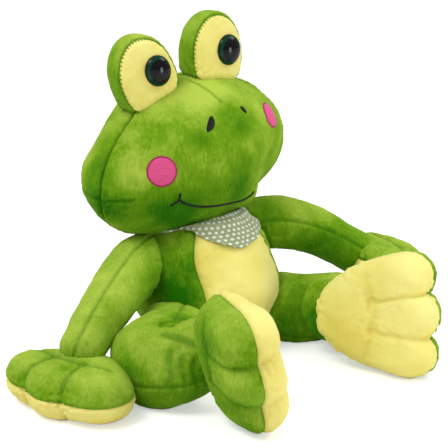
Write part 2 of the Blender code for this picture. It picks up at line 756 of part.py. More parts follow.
def add_bandana():
    """The folded cloth round the neck with its point on the chest, and the knot with two tails behind."""
    cloth = add_cutter("torso_cloth", grown(torso_mesh(), GAP + CLOTH))
    room = add_cutter("torso_room", grown(torso_mesh(), GAP))
    surface = material("bandana_cloth", SAGE, 0.85)
    middle = (BAND_LOW + BAND_HIGH) / 2
    tip = BAND_LOW - POINT_DROP
    half = POINT_WIDTH / 2
    outline = [(-half, middle), (POINT_SHIFT, tip), (half, middle)]
    reach = Vector((TORSO_BASE_WIDTH, TORSO_BASE_DEPTH))
    band = add_cutter("bandana_band", box_mesh((*-reach, BAND_LOW), (*reach, BAND_HIGH)))
    bandana = add_patch("bandana", outline, Matrix.Identity(4), TORSO_BASE_DEPTH, surface, cloth, room, band)
    for side in SIDES:
        arm = arm_points(side)
        radius = ARM_ROOT_RADIUS + GAP
        seat = add_seat("band_shoulder_" + side, radius, shoulder_place(side), arm[1] - arm[0])
        carve(bandana, seat)

    knot_middle = BAND_LOW - KNOT_BELOW_BAND - KNOT_HEIGHT / 2
    turned = Matrix.Translation((0, 0, knot_middle)) @ Matrix.Rotation(math.pi, 4, "Z")
    knot = add_patch("bandana_knot", tails_outline(), turned, TORSO_BASE_DEPTH, surface, cloth, room)
    lump = bmesh.new()
    bmesh.ops.create_uvsphere(lump, u_segments=KNOT_SIDES, v_segments=KNOT_SIDES // 2, radius=1)
    size = Matrix.Diagonal((KNOT_WIDTH / 2, KNOT_DEPTH / 2, KNOT_HEIGHT / 2, 1))
    bmesh.ops.transform(lump, matrix=size, verts=lump.verts)
    behind = Matrix.Translation((0, NECK_SETBACK + NECK_RADIUS, knot_middle))
    lump = add_cutter("knot_guide", lump, behind)
    carve(knot, lump, "UNION")
    carve(knot, room)


def arm_points(side):
    """The control points of the arm's curve, from the shoulder; it arches up a little."""
    ahead = heading_vector(side, ARM_HEADING[side], ARM_DROP[side])
    return Vector(), ahead * ARM_LENGTH / 2 + Vector((0, 0, 2 * ARM_ARCH[side])), ahead * ARM_LENGTH


def add_arms():
    for side in SIDES:
        radii = (ARM_ROOT_RADIUS, ARM_MIDDLE_RADIUS, WRIST_RADIUS)
        bm = limb_mesh(arm_points(side), radii, ARM_SIDES, ARM_STEPS)
        names = ("arm_upper_" + side, "arm_lower_" + side)
        add_stuffed(bm, names, (green_pile(),) * 2, "arm_stuffing_" + side, shoulder_place(side))


def wrist_place(side):
    return shoulder_place(side) @ Matrix.Translation(arm_points(side)[-1])


def resting_height(bm, turn):
    """The height of a turned form's middle where its lowest point presses on the floor."""
    return -min((turn @ point.co).z for point in bm.verts) - SEAT_PRESS


def add_hands(floor):
    for side in SIDES:
        ahead = heading_vector(side, HAND_HEADING[side], HAND_DROP[side])
        turn = facing(ahead, Vector((0, 0, 1)))
        wrist = wrist_place(side)
        bm = pad_mesh(HAND_LENGTH, HAND_WIDTH, HAND_THICKNESS, HAND_NOTCH, HAND_HEEL_share)
        middle = wrist.translation + ahead * HAND_REACH
        if HAND_DROP[side] == 0:
            middle.z = resting_height(bm, turn)
        place = Matrix.Translation(middle) @ turn
        names = ("hand_back_" + side, "palm_" + side)
        pieces = add_stuffed(bm, names, (green_pile(), yellow_pile()), "hand_stuffing_" + side, place)
        arm = arm_points(side)
        seat = add_seat("wrist_seat_" + side, WRIST_RADIUS, wrist, arm[-2] - arm[-1])
        for item in pieces:
            carve(item, seat)
            carve(item, floor)


def leg_points(side):
    """The control points of the leg's curve from the hip: out along the thigh, round the knee, to the ankle.

    Half way along a cubic curve the ends weigh an eighth each, so the knee there just presses on the floor.
    """
    ankle = Vector((SIDES[side] * ANKLE_OUT[side], -ANKLE_FORWARD[side], ANKLE_HEIGHT))
    ankle -= hip_place(side).translation
    thigh = heading_vector(side, THIGH_HEADING[side]) * THIGH_PULL[side]
    shin = ankle - heading_vector(side, SHIN_HEADING[side]) * SHIN_PULL[side]
    low_knee = KNEE_RADIUS - SEAT_PRESS
    thigh.z = shin.z = low_knee + (2 * low_knee - HIP_HEIGHT - ANKLE_HEIGHT) / 6 - HIP_HEIGHT
    return Vector(), thigh, shin, ankle


def add_legs(floor):
    for side in SIDES:
        radii = (LEG_ROOT_RADIUS, KNEE_RADIUS, ANKLE_RADIUS)
        bm = limb_mesh(leg_points(side), radii, LEG_SIDES, LEG_STEPS)
        names = ("leg_upper_" + side, "leg_lower_" + side)
        pieces = add_stuffed(bm, names, (green_pile(),) * 2, "leg_stuffing_" + side, hip_place(side))
        for item in pieces:
            carve(item, floor)


def ankle_place(side):
    return hip_place(side) @ Matrix.Translation(leg_points(side)[-1])


def add_feet(floor):
    for side, out in SIDES.items():
        ahead = heading_vector(side, FOOT_HEADING[side])
        outward = Vector((0, 0, 1)).cross(ahead) * out
        top = outward * math.cos(FOOT_LEAN[side]) - Vector((0, 0, math.sin(FOOT_LEAN[side])))
        turn = facing(ahead, top)
        ankle = ankle_place(side)
        bm = pad_mesh(FOOT_LENGTH, FOOT_WIDTH, FOOT_THICKNESS, FOOT_NOTCH, FOOT_HEEL_share)
        middle = ankle.translation + ahead * FOOT_REACH
        middle.z = resting_height(bm, turn)
        place = Matrix.Translation(middle) @ turn
        names = ("foot_top_" + side, "sole_" + side)
        pieces = add_stuffed(bm, names, (green_pile(), yellow_pile()), "foot_stuffing_" + side, place)
        leg = leg_points(side)
        seat = add_seat("ankle_seat_" + side, ANKLE_RADIUS, ankle, leg[-2] - leg[-1])
        for item in pieces:
            carve(item, seat)
            carve(item, floor)


def main():
    below = box_mesh((-CUT_REACH, -CUT_REACH, -CUT_REACH), (CUT_REACH, CUT_REACH, 0))
    floor = add_cutter("floor_cut", below)
    add_torso(floor)
    add_head()
    head_room = add_cutter("head_room", grown(head_mesh(), GAP), head_place())
    add_eye_bulges(head_room)
    add_embroidery(head_room)
    add_bandana()
    add_arms()
    add_hands(floor)
    add_legs(floor)
    add_feet(floor)


main()
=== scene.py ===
"""Dresses the sitting plush frog: sewn pile skins over stuffing, plastic eyes, embroidery, a dotted bandana.

Metres, +Z up, in the frame's own axes: the frog faces -Y and its left side is +X.
"""
import json
import math

import bpy
import numpy as np
from mathutils import Matrix, Vector, noise
from mathutils.bvhtree import BVHTree
from mathutils.kdtree import KDTree


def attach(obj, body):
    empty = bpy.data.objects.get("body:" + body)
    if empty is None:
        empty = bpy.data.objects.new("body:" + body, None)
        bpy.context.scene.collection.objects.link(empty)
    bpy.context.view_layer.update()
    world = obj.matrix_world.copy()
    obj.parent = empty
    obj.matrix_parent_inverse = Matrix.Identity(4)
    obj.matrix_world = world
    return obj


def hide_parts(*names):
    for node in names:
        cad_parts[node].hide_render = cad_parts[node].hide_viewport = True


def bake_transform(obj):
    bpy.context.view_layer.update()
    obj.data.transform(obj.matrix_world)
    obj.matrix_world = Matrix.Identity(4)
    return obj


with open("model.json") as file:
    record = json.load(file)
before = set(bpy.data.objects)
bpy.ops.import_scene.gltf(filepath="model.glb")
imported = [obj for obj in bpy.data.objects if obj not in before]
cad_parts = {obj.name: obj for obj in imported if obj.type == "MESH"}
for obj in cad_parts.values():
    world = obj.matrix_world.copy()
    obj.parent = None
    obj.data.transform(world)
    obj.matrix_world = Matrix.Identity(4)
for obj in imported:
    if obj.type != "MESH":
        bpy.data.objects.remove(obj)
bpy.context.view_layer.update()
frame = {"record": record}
JOINTS = {joint["name"]: Vector(joint["pos_m"]) for joint in frame["record"]["behaviour"]["joints"]}
SIDES = {"right": -1, "left": 1}
UP = Vector((0, 0, 1))

# Camera and light
CAMERA_AZIMUTH = math.radians(-40)
CAMERA_HEIGHT = math.radians(15)
CAMERA_AIM = Vector((0.008, -0.022, 0.128))
CAMERA_DISTANCE = 1.3
FOCAL_PIXELS = 1300
IMAGE_PIXELS = 448
SENSOR = 36

# Head
HEAD_SIZE = Vector((0.230, 0.150, 0.151))
HEAD_OFFSET = Vector((-0.007, 0.016, 0.111))
HEAD_ROLL = math.radians(-11)
HEAD_TURN = math.radians(-4)
HEAD_TAPER = 0.17
HEAD_WIDTH_POWER = 0.86
HEAD_DEPTH_POWER = 0.92
FACE_HALF_ANGLE = math.radians(76)
CHEEK_DART = (
    (-0.116, 0.0074, -0.0087),
    (-0.1157, -0.0098, -0.0125),
    (-0.1074, -0.029, -0.0134),
    (-0.0933, -0.0443, -0.0141),
)

# Eye bulges and eyes
BULGE_SIZE = Vector((0.065, 0.0355, 0.086))
BULGE_PLACE = Vector((0.0415, -0.009, 0.0885))
BULGE_TURN = math.radians(3)
BULGE_LEAN = math.radians(10)
EYE_SIZE = Vector((0.0275, 0.0075, 0.0305))
EYE_TOWARD_LEFT = 0.009
EYE_RAISE = 0.005

# Torso
TORSO_BASE = Vector((0.156, 0.148, 0.064))
TORSO_TOP = 0.147
BELLY_HALF_ANGLE = math.radians(43)
BELLY_DRAW = math.radians(6.5)
SEAT_PRESS = 0.0005

# Limbs
ARM_RADII = {"right": (0.0285, 0.0265, 0.0212), "left": (0.0290, 0.0268, 0.0245)}
ARM_ARCH = {"right": 0.011, "left": 0.0178}
ARM_BEND_PLACE = 0.42
HAND_SIZE = Vector((0.092, 0.134, 0.046))
PALM_SHARE = 0.95
HAND_ASIDE = 0.005
HAND_REACH = 0.031
HAND_HEADING = {"right": math.radians(14), "left": math.radians(16)}
HAND_DROP = {"right": 0.0, "left": math.radians(18)}
LEG_RADII = {"right": (0.035, 0.037, 0.031), "left": (0.033, 0.0355, 0.031)}
KNEE_MIDDLE = {"right": 0.0355, "left": 0.033}
THIGH_PULL = {"right": 0.106, "left": 0.092}
SHIN_PULL = {"right": 0.056, "left": 0.066}
THIGH_HEADING = {"right": math.radians(39), "left": math.radians(30)}
SHIN_HEADING = {"right": math.radians(158), "left": math.radians(165)}
FOOT_SIZE = Vector((0.128, 0.119, 0.055))
FOOT_REACH = 0.052
FOOT_HEADING = {"right": math.radians(70), "left": math.radians(66)}
FOOT_LEAN = math.radians(10)
FOOT_ROLL = {"right": math.radians(-9), "left": math.radians(-8)}

# Sewing
TOE_LINE = ((0.47, 0.185), (0.30, 0.165), (0.14, 0.14), (0.02, 0.12))
BALL_LINE = ((-0.03, 0.32), (0.02, 0.12), (0.035, 0.0), (0.02, -0.12), (-0.03, -0.32))
SEAM_DEPTH = 0.0016
SEAM_WIDTH = 0.0022
PUCKER = 0.0006
SKIN = 0.0015
TUCK = 0.004
HEAD_TUCK = 0.012
BLEND_REACH = 0.04
COTTON = 0.0008
DOT_PITCH = 0.0054
BAND_LOWEST_TOP, BAND_HIGHEST_TOP = 0.1245, 0.143
BAND_HEAD_GAP = 0.0030
BAND_OUT = 0.0022
KNOT_HEIGHT = 0.108
KNOT_SIZE = Vector((0.026, 0.017, 0.021))
KNOT_OUT = 0.005
TAIL_SPREAD = math.radians(48)
TAIL_LENGTH = 0.042
TAIL_ROOT, TAIL_WIDEN = 0.0035, 0.0075
NECK_ROUND = 0.058
EMBROIDERY_EDGE = 0.0006
FLOOR_HALF = 6
FLOOR_GLOW = 0.47
STITCH_REACH = 0.0028
STITCH_RADIUS = 0.0005

# Colours, linear
GREEN_LIGHT = (0.43, 0.57, 0.070, 1)
GREEN_MIDDLE = (0.165, 0.340, 0.008, 1)
GREEN_DARK = (0.020, 0.155, 0.001, 1)
YELLOW_LIGHT = (0.93, 0.85, 0.29, 1)
YELLOW_MIDDLE = (0.87, 0.77, 0.20, 1)
YELLOW_DARK = (0.76, 0.62, 0.11, 1)
PINK = (0.78, 0.085, 0.27, 1)
PINK_RIM = (0.30, 0.012, 0.06, 1)
BLACK = (0.004, 0.004, 0.004, 1)
IRIS = (0.0, 0.030, 0.013, 1)
SAGE = (0.36, 0.42, 0.215, 1)
DOT = (0.92, 0.92, 0.82, 1)
WHITE = (0.85, 0.85, 0.83, 1)


# Node helpers
def new_material(name):
    """A material, its node tree and its Principled shader."""
    material = bpy.data.materials.new(name)
    material.use_nodes = True
    return material, material.node_tree, material.node_tree.nodes["Principled BSDF"]


def plug(tree, socket, value):
    """Joins an output to a socket, or sets the socket to a plain value."""
    if isinstance(value, bpy.types.NodeSocket):
        tree.links.new(value, socket)
    else:
        socket.default_value = value


def plug_all(tree, made, inputs):
    for name, value in inputs.items():
        plug(tree, made.inputs[name], value)


def node(tree, kind, inputs=None, **settings):
    """A shader node with its settings and inputs; gives its first output."""
    made = tree.nodes.new("ShaderNode" + kind)
    for name, value in settings.items():
        setattr(made, name, value)
    plug_all(tree, made, inputs or {})
    return made.outputs[0]


def place_of(tree, scale=(1, 1, 1), turn=(0, 0, 0)):
    """The object's own coordinates, scaled and turned."""
    source = tree.nodes.new("ShaderNodeTexCoord").outputs["Object"]
    return node(tree, "Mapping", {"Vector": source, "Scale": scale, "Rotation": turn})


def cloud(tree, place, scale, detail=2.0, roughness=0.5, distortion=0.0):
    return node(
        tree,
        "TexNoise",
        {"Vector": place, "Scale": scale, "Detail": detail, "Roughness": roughness, "Distortion": distortion},
    )


def between(tree, value, low, high, to_low=0.0, to_high=1.0):
    """A value stretched from one span to another and held inside it."""
    inputs = {"Value": value, "From Min": low, "From Max": high, "To Min": to_low, "To Max": to_high}
    return node(tree, "MapRange", inputs)


def mixed(tree, share, first, second):
    mix = tree.nodes.new("ShaderNodeMix")
    mix.data_type = "RGBA"
    plug_all(tree, mix, {0: share, 6: first, 7: second})
    return mix.outputs[2]


def maths(tree, operation, *values):
    made = tree.nodes.new("ShaderNodeMath")
    made.operation = operation
    for socket, value in zip(made.inputs, values):
        plug(tree, socket, value)
    return made.outputs[0]


def attribute(tree, name):
    """A number kept on the points of the mesh."""
    made = tree.nodes.new("ShaderNodeAttribute")
    made.attribute_name = name
    return made.outputs["Fac"]


def bumped(tree, shader, layers):
    """Bump layers, each (height, strength, distance), stacked on a shader's normal."""
    normal = None
    for height, strength, distance in layers:
        inputs = {"Height": height, "Strength": strength, "Distance": distance}
        if normal is not None:
            inputs["Normal"] = normal
        normal = node(tree, "Bump", inputs)
    plug(tree, shader.inputs["Normal"], normal)


def pile_material(name, light, middle, dark, sheen_tint, contrast):
    """Short plush pile: brushed patches and strokes of lighter and darker pile, tufts, and a soft sheen at
    the edges; the patches come from a point attribute that also holds painted light and shade, and seams are
    darkened as painted shade.
    """
    material, tree, shader = new_material(name)
    place = place_of(tree)
    nap_and_painted_shading = attribute(tree, "nap_and_painted_shading")
    seam = attribute(tree, "seam")
    strokes = cloud(tree, place_of(tree, (430, 430, 85), (0.25, 0.15, 0.5)), 1.0, 3.0, 0.65, 0.4)
    tufts = cloud(tree, place, 300, 3.0, 0.65, 0.3)
    fibres = cloud(tree, place_of(tree, (1300, 1300, 400), (0.2, 0.3, 0.1)), 1.0, 2.0, 0.6)
    # The point attribute read above sets the patches; besides the pile's own patches it holds painted light
    # on upward faces and painted light and shade spots.
    ruffled = maths(tree, "MULTIPLY_ADD", maths(tree, "SUBTRACT", strokes, 0.5), 0.7 * contrast, nap_and_painted_shading)
    ruffled = maths(tree, "MULTIPLY_ADD", maths(tree, "SUBTRACT", tufts, 0.5), 0.3 * contrast, ruffled)
    base = mixed(tree, between(tree, ruffled, -0.15, 0.5), dark, middle)
    base = mixed(tree, between(tree, ruffled, 0.45, 1.05), base, light)
    # Painted shade: the colour is drawn toward the dark tone along the seam grooves and in the heel's pleat
    # hollows.
    base = mixed(tree, maths(tree, "MULTIPLY", seam, 0.5 * contrast), base, dark)
    finish = {"Base Color": base, "Roughness": between(tree, tufts, 0.3, 0.7, 0.95, 0.8)}
    sheen = {"Sheen Weight": 0.25, "Sheen Roughness": 0.4, "Sheen Tint": sheen_tint}
    plug_all(tree, shader, {**finish, **sheen, "Specular IOR Level": 0.05})
    strength = 0.35
    relief = [(strokes, strength * contrast, 0.002), (tufts, strength * contrast, 0.001)]
    bumped(tree, shader, [*relief, (fibres, strength, 0.0005)])
    return material


def thread_material(name, colour, rim_colour, pitch, sheen):
    """Satin-stitch thread: fine parallel strands, darker toward the edge of the patch."""
    material, tree, shader = new_material(name)
    place = place_of(tree, (1, 1, 1), (0, 0, 0.3))
    strands = node(
        tree,
        "TexWave",
        {"Vector": place, "Scale": 0.314 / pitch, "Distortion": 0.8, "Detail": 1.0, "Detail Scale": 2.0},
        bands_direction="Z",
    )
    tone = cloud(tree, place, 500, 2.0)
    rim = attribute(tree, "rim")
    base = mixed(tree, between(tree, rim, 0.84, 0.89), colour, rim_colour)
    darker = tuple(channel * 0.6 for channel in colour[:3]) + (1,)
    base = mixed(tree, between(tree, strands, 0.0, 0.6, 0.45, 0.0), base, darker)
    roughness = between(tree, tone, 0.3, 0.7, 0.5, 0.7)
    finish = {"Specular IOR Level": 0.2, "Sheen Weight": sheen}
    plug_all(tree, shader, {"Base Color": base, "Roughness": roughness, **finish})
    bumped(tree, shader, [(strands, 0.5, 0.0004), (tone, 0.3, 0.0003)])
    return material


def eye_material():
    """Moulded plastic: a black pupil in a deep green iris under a clear gloss."""
    material, tree, shader = new_material("eye_gloss")
    rim = attribute(tree, "rim")
    grain = cloud(tree, place_of(tree), 700, 2.0)
    iris = mixed(tree, between(tree, grain, 0.35, 0.7), IRIS, (0.0, 0.05, 0.022, 1))
    base = mixed(tree, between(tree, rim, 0.76, 0.80), BLACK, iris)
    base = mixed(tree, between(tree, rim, 0.93, 0.99), base, BLACK)
    roughness = between(tree, grain, 0.3, 0.7, 0.03, 0.06)
    plug_all(tree, shader, {"Base Color": base, "Roughness": roughness, "Specular IOR Level": 0.17})
    bumped(tree, shader, [(grain, 0.05, 0.0001)])
    return material


def bandana_material():
    """Plain-weave cotton in sage green with small off-white dots in staggered rows."""
    material, tree, shader = new_material("bandana_cotton")
    source = node(tree, "UVMap", uv_map="cloth")
    spread = node(tree, "VectorMath", {0: source, "Scale": 1 / DOT_PITCH}, operation="SCALE")
    parts = tree.nodes.new("ShaderNodeSeparateXYZ")
    plug(tree, parts.inputs[0], spread)
    row = maths(tree, "FLOOR", parts.outputs["Y"])
    shifted = maths(tree, "MULTIPLY_ADD", row, 0.5, parts.outputs["X"])
    across = maths(tree, "SUBTRACT", maths(tree, "FRACT", shifted), 0.5)
    along = maths(tree, "SUBTRACT", maths(tree, "FRACT", parts.outputs["Y"]), 0.5)
    squares = maths(tree, "ADD", *(maths(tree, "MULTIPLY", way, way) for way in (across, along)))
    dots = between(tree, maths(tree, "SQRT", squares), 0.23, 0.30, 1.0, 0.0)
    ways = {"Vector": spread, "Scale": 3.2, "Distortion": 0.6}
    threads = maths(tree, "MULTIPLY", *(node(tree, "TexWave", ways, bands_direction=way) for way in "XY"))
    fade = cloud(tree, place_of(tree), 90, 3.0)
    ground = mixed(tree, between(tree, fade, 0.3, 0.7), SAGE, tuple(0.82 * c for c in SAGE[:3]) + (1,))
    base = mixed(tree, dots, ground, DOT)
    base = mixed(tree, between(tree, threads, 0.0, 0.5, 0.22, 0.0), base, (0.20, 0.24, 0.14, 1))
    roughness = between(tree, fade, 0.3, 0.7, 0.78, 0.9)
    plug_all(tree, shader, {"Base Color": base, "Roughness": roughness, "Sheen Weight": 0.25})
    bumped(tree, shader, [(threads, 0.35, 0.0003), (fade, 0.2, 0.001)])
    return material


def fill_material(name, colour, scale, roughness):
    """Plain matte stuff with a little mottling, for what lies inside."""
    material, tree, shader = new_material(name)
    mottle = cloud(tree, place_of(tree), scale, 3.0)
    darker = tuple(channel * 0.85 for channel in colour[:3]) + (1,)
    stuff = mixed(tree, mottle, colour, darker)
    roughness = between(tree, mottle, 0.3, 0.7, roughness, roughness + 0.1)
    plug_all(tree, shader, {"Base Color": stuff, "Roughness": roughness})
    bumped(tree, shader, [(mottle, 0.3, 0.0005)])
    return material


GREEN_PILE = pile_material("green_plush", GREEN_LIGHT, GREEN_MIDDLE, GREEN_DARK, (0.60, 0.85, 0.12, 1), 1.0)
YELLOW_PILE = pile_material(
    "yellow_plush", YELLOW_LIGHT, YELLOW_MIDDLE, YELLOW_DARK, (1.0, 0.97, 0.75, 1), 0.55
)
BLACK_THREAD = thread_material("black_embroidery", (0.007, 0.007, 0.007, 1), BLACK, 0.0016, 0.03)
PINK_THREAD = thread_material("pink_embroidery", PINK, PINK_RIM, 0.0016, 0.15)
EYE_GLOSS = eye_material()
BANDANA_COTTON = bandana_material()
WASHER_PLASTIC = fill_material("washer_plastic", WHITE, 300, 0.4)


# Forms
def rough(points, scale, depth=2):
    """Smooth noise, about -1 to 1, at each point; scale is the size of its swells in metres."""
    spots = points / scale
    return np.array([noise.fractal(Vector(spot), 1.0, 2.0, depth) for spot in spots])


def smooth(values, low, high):
    share = np.clip((values - low) / (high - low), 0, 1)
    return share * share * (3 - 2 * share)


def grid_quads(rows, steps, start=0, open_rows=True, open_steps=False):
    """Quads between the neighbouring points of a grid that is kept row by row from a first point on."""
    faces = []
    for row in range(rows - 1 if open_rows else rows):
        low, high = start + row * steps, start + (row + 1) % rows * steps
        for step in range(steps - 1 if open_steps else steps):
            after = (step + 1) % steps
            faces.append((low + step, low + after, high + after, high + step))
    return faces


def fan(centre, ring):
    return [(centre, first, second) for first, second in zip(ring, [*ring[1:], ring[0]])]


def grid_faces(rows, steps):
    """Faces of a closed grid whose first and last rows are one point each."""
    last = 1 + (rows - 2) * steps
    ends = fan(0, list(range(steps, 0, -1))) + fan(last, list(range(last - steps, last)))
    return ends + grid_quads(rows - 2, steps, 1)


def away_from(points, line):
    """How far each point lies from the nearest of a line of points."""
    tree = KDTree(len(line))
    for number, point in enumerate(line):
        tree.insert(Vector(point), number)
    tree.balance()
    return np.array([tree.find(Vector(point))[2] for point in points])


class Form:
    """A closed skin over rows of points, in a place, before it is cut into panels."""

    def __init__(self, grid, place):
        rows, steps = grid.shape[:2]
        flat = np.concatenate([grid[0, :1], grid[1:-1].reshape(-1, 3), grid[-1, :1]])
        turn = np.array(place.to_3x3())
        self.points = flat @ turn.T + np.array(place.translation)
        self.rows, self.steps = rows, steps
        self.faces = grid_faces(rows, steps)
        self.panels = np.zeros(len(self.faces), int)
        self.seam = np.zeros(len(self.points))
        self.nap_and_shade_marks = np.zeros(len(self.points))
        self.place = place
        self.row_of = np.concatenate([[0], np.repeat(np.arange(1, rows - 1), steps), [rows - 1]])
        self.step_of = np.concatenate([[0], np.tile(np.arange(steps), rows - 2), [0]])
        if self.volume() < 0:
            self.faces = [face[::-1] for face in self.faces]

    def volume(self):
        total = 0.0
        for face in self.faces[:: max(1, len(self.faces) // 2000)]:
            a, b, c = (self.points[corner] - self.points.mean(0) for corner in face[:3])
            total += float(np.dot(a, np.cross(b, c)))
        return total

    def mesh(self):
        mesh = bpy.data.meshes.new("form")
        mesh.from_pydata(self.points.tolist(), [], self.faces)
        mesh.update()
        return mesh

    def normals(self):
        mesh = self.mesh()
        out = np.empty(len(self.points) * 3)
        mesh.vertex_normals.foreach_get("vector", out)
        bpy.data.meshes.remove(mesh)
        return out.reshape(-1, 3)

    def push(self, distance):
        """Moves every point out along its normal."""
        self.points = self.points + self.normals() * distance[:, None]

    def set_panels(self, panel_at):
        """Numbers each face's panel from its row and step, as shares of the grid."""
        for number, face in enumerate(self.faces):
            row = max(self.row_of[corner] for corner in face) - 0.5
            steps = [self.step_of[corner] for corner in face if 0 < self.row_of[corner] < self.rows - 1]
            low, high = min(steps), max(steps)
            middle = (low + high) / 2 if high - low <= 1 else self.steps - 0.5
            self.panels[number] = panel_at(row / (self.rows - 1), middle / self.steps)

    def seam_points(self):
        """Points where two panels meet."""
        seen = {}
        for face, panel in zip(self.faces, self.panels):
            for corner in face:
                seen.setdefault(corner, set()).add(panel)
        return self.points[[corner for corner, panels in seen.items() if len(panels) > 1]]

    def groove(self, line, depth=SEAM_DEPTH, width=SEAM_WIDTH, pucker=PUCKER, reach=0.012):
        """A seam pulled in along a line of points, with the cloth puckered beside it."""
        if len(line) == 0:
            return
        away = away_from(self.points, line)
        dip = np.exp(-((away / width) ** 2))
        side = np.exp(-((away / reach) ** 2)) - dip
        wave = np.zeros(len(self.points))
        near = away < 3 * reach
        wave[near] = rough(self.points[near], 0.0045)
        self.push(-depth * dip + pucker * 2.2 * wave * side + pucker * side)
        # The groove is kept as a mask that darkens the pile's colour there: painted shade in the seam.
        self.seam = np.maximum(self.seam, dip)

    def brush(self, spots):
        """Lighter and darker spots, each (point, radius, amount): some are patches of the pile's own lie,
        others painted light on lit parts and painted shade in creases, hollows and under the chin.
        """
        for centre, radius, amount in spots:
            away = np.linalg.norm(self.points - np.array(centre), axis=1)
            self.nap_and_shade_marks += amount * np.exp(-((away / radius) ** 2))

    def nap_and_painted_shading(self):
        """How light the pile is at each point: random patches of the pile's lie, spots that are partly the
        pile's own and partly painted light and shade, and painted light that makes faces lighter the more
        they face up.
        """
        patches = 0.30 * rough(self.points + 3, 0.042) + 0.14 * rough(self.points + 11, 0.013)
        # Painted light: the last term lightens faces that point up and darkens those that point down.
        return 0.52 + patches + self.nap_and_shade_marks + 0.22 * self.normals()[:, 2]

    def keep_above_floor(self):
        self.points[:, 2] = np.maximum(self.points[:, 2], 0.0)

    def soften(self, swell=0.0009, ripple=0.00035):
        """The uneven fill under the cloth."""
        self.push(swell * rough(self.points, 0.022) + ripple * rough(self.points + 7, 0.0075))


def dense_line(points, spacing=0.001):
    """A line of points with its gaps filled in."""
    out = []
    for first, second in zip(points, points[1:]):
        first, second = np.array(first), np.array(second)
        count = max(1, int(np.linalg.norm(second - first) / spacing))
        out += [first + (second - first) * step / count for step in range(count)]
    return np.array(out + [np.array(points[-1])])


def tree_of(form):
    return BVHTree.FromPolygons([Vector(point) for point in form.points], form.faces)


def depth_in(tree, points):
    """How far inside a closed form each point lies; negative outside."""
    out = np.empty(len(points))
    for number, point in enumerate(points):
        spot, normal, _, distance = tree.find_nearest(Vector(point))
        out[number] = distance if (Vector(point) - spot).dot(normal) < 0 else -distance
    return out


def put(name, data):
    item = bpy.data.objects.new(name, data)
    bpy.context.scene.collection.objects.link(item)
    return item


def new_piece(name, points, faces, material, attributes=None, uv=None):
    """An object from points and faces, smooth, with float attributes on its points."""
    mesh = bpy.data.meshes.new(name)
    mesh.from_pydata([tuple(point) for point in points], [], [tuple(face) for face in faces])
    for key, values in (attributes or {}).items():
        layer = mesh.attributes.new(key, "FLOAT", "POINT")
        layer.data.foreach_set("value", np.asarray(values, np.float32))
    if uv is not None:
        layer = mesh.uv_layers.new(name="cloth")
        corners = np.empty(len(mesh.loops), int)
        mesh.loops.foreach_get("vertex_index", corners)
        layer.data.foreach_set("uv", np.asarray(uv, np.float32)[corners].ravel())
    mesh.materials.append(material)
    mesh.update()
    mesh.shade_smooth()
    return put(name, mesh)


def shell(points, normals, faces, thickness):
    """Points and faces of a sheet given a thickness, with its open edges closed."""
    count = len(points)
    solid = np.concatenate([points, points - normals * thickness])
    used = {}
    for face in faces:
        for first, second in zip(face, face[1:] + face[:1]):
            used[(first, second)] = True
    rims = [
        (first, first + count, second + count, second)
        for first, second in used
        if (second, first) not in used
    ]
    inner = [tuple(corner + count for corner in face[::-1]) for face in faces]
    return solid, list(faces) + inner + rims


def cut_piece(form, name, material, panels=None, hidden_in=(), tuck=TUCK, thickness=SKIN):
    """One panel of a form as a cloth shell, without the faces that lie deep inside other forms."""
    keep = np.ones(len(form.points), bool)
    for tree in hidden_in:
        keep &= depth_in(tree, form.points) < tuck
    faces = [
        tuple(face)
        for face, panel in zip(form.faces, form.panels)
        if (panels is None or panel in panels) and any(keep[corner] for corner in face)
    ]
    used = sorted({corner for face in faces for corner in face})
    renumbered = {corner: number for number, corner in enumerate(used)}
    faces = [tuple(renumbered[corner] for corner in face) for face in faces]
    kept = (form.points, form.normals(), form.seam, form.nap_and_painted_shading())
    points, normals, seam, nap_and_painted_shading = (values[used] for values in kept)
    solid, all_faces = shell(points, normals, faces, thickness)
    attributes = {"seam": np.concatenate([seam, seam]), "nap_and_painted_shading": np.concatenate([nap_and_painted_shading, nap_and_painted_shading])}
    return new_piece(name, solid, all_faces, material, attributes)


# Shapes of the forms
def turned(rows, steps):
    """Angles from pole to pole and round, as two grids."""
    return np.meshgrid(np.linspace(0, math.pi, rows), np.arange(steps) / steps * math.tau, indexing="ij")


def head_grid(rows=151, steps=260):
    climb, round_ = turned(rows, steps)
    lift, spread = -np.cos(climb), np.maximum(np.sin(climb), 0)
    heading = (round_ - math.pi / 2) % math.tau - math.pi
    lean = math.radians(1) * np.where(lift > 0, -12.5 * lift**2, np.minimum(33 * lift**2, 9))
    near = np.exp(-(((np.abs(heading) - FACE_HALF_ANGLE) / math.radians(25)) ** 2))
    round_ = round_ + np.sign(heading) * lean * near
    swell = spread**HEAD_WIDTH_POWER * (1 - HEAD_TAPER * lift)
    x = HEAD_SIZE.x / 2 * swell * np.cos(round_)
    y = HEAD_SIZE.y / 2 * spread**HEAD_DEPTH_POWER * np.sin(round_)
    return np.stack([x, y, HEAD_SIZE.z / 2 * lift], -1)


def bulge_grid(rows=65, steps=112):
    climb, round_ = turned(rows, steps)
    spread = np.maximum(np.sin(climb), 0) ** 0.55
    ahead = np.sign(np.cos(climb)) * np.abs(np.cos(climb)) ** 0.5
    x = BULGE_SIZE.x / 2 * spread * np.cos(round_)
    z = BULGE_SIZE.z / 2 * spread * np.sin(round_)
    return np.stack([x, -BULGE_SIZE.y / 2 * ahead, z], -1)


def torso_ring(height):
    """Half the torso's width, its depth ahead and behind, and how far back its middle lies, at a height."""
    climb = (height - TORSO_BASE.z) / (TORSO_TOP - TORSO_BASE.z)
    level = math.sqrt(max(1 - max(climb, 0) ** 2.2, 0))
    ahead = TORSO_BASE.y / 2 * level
    behind = ahead * (1 - 0.22 * smooth(climb, 0.0, 0.5))
    return TORSO_BASE.x / 2 * level, ahead, behind, JOINTS["neck_turn"].y * smooth(climb, 0.0, 0.4)


def torso_depth(ahead, behind, turn):
    """The torso's depth in a direction whose sine toward its back is given, drawn in behind the arms."""
    return (ahead + (behind - ahead) * smooth(turn, 0.1, 0.8)) * turn


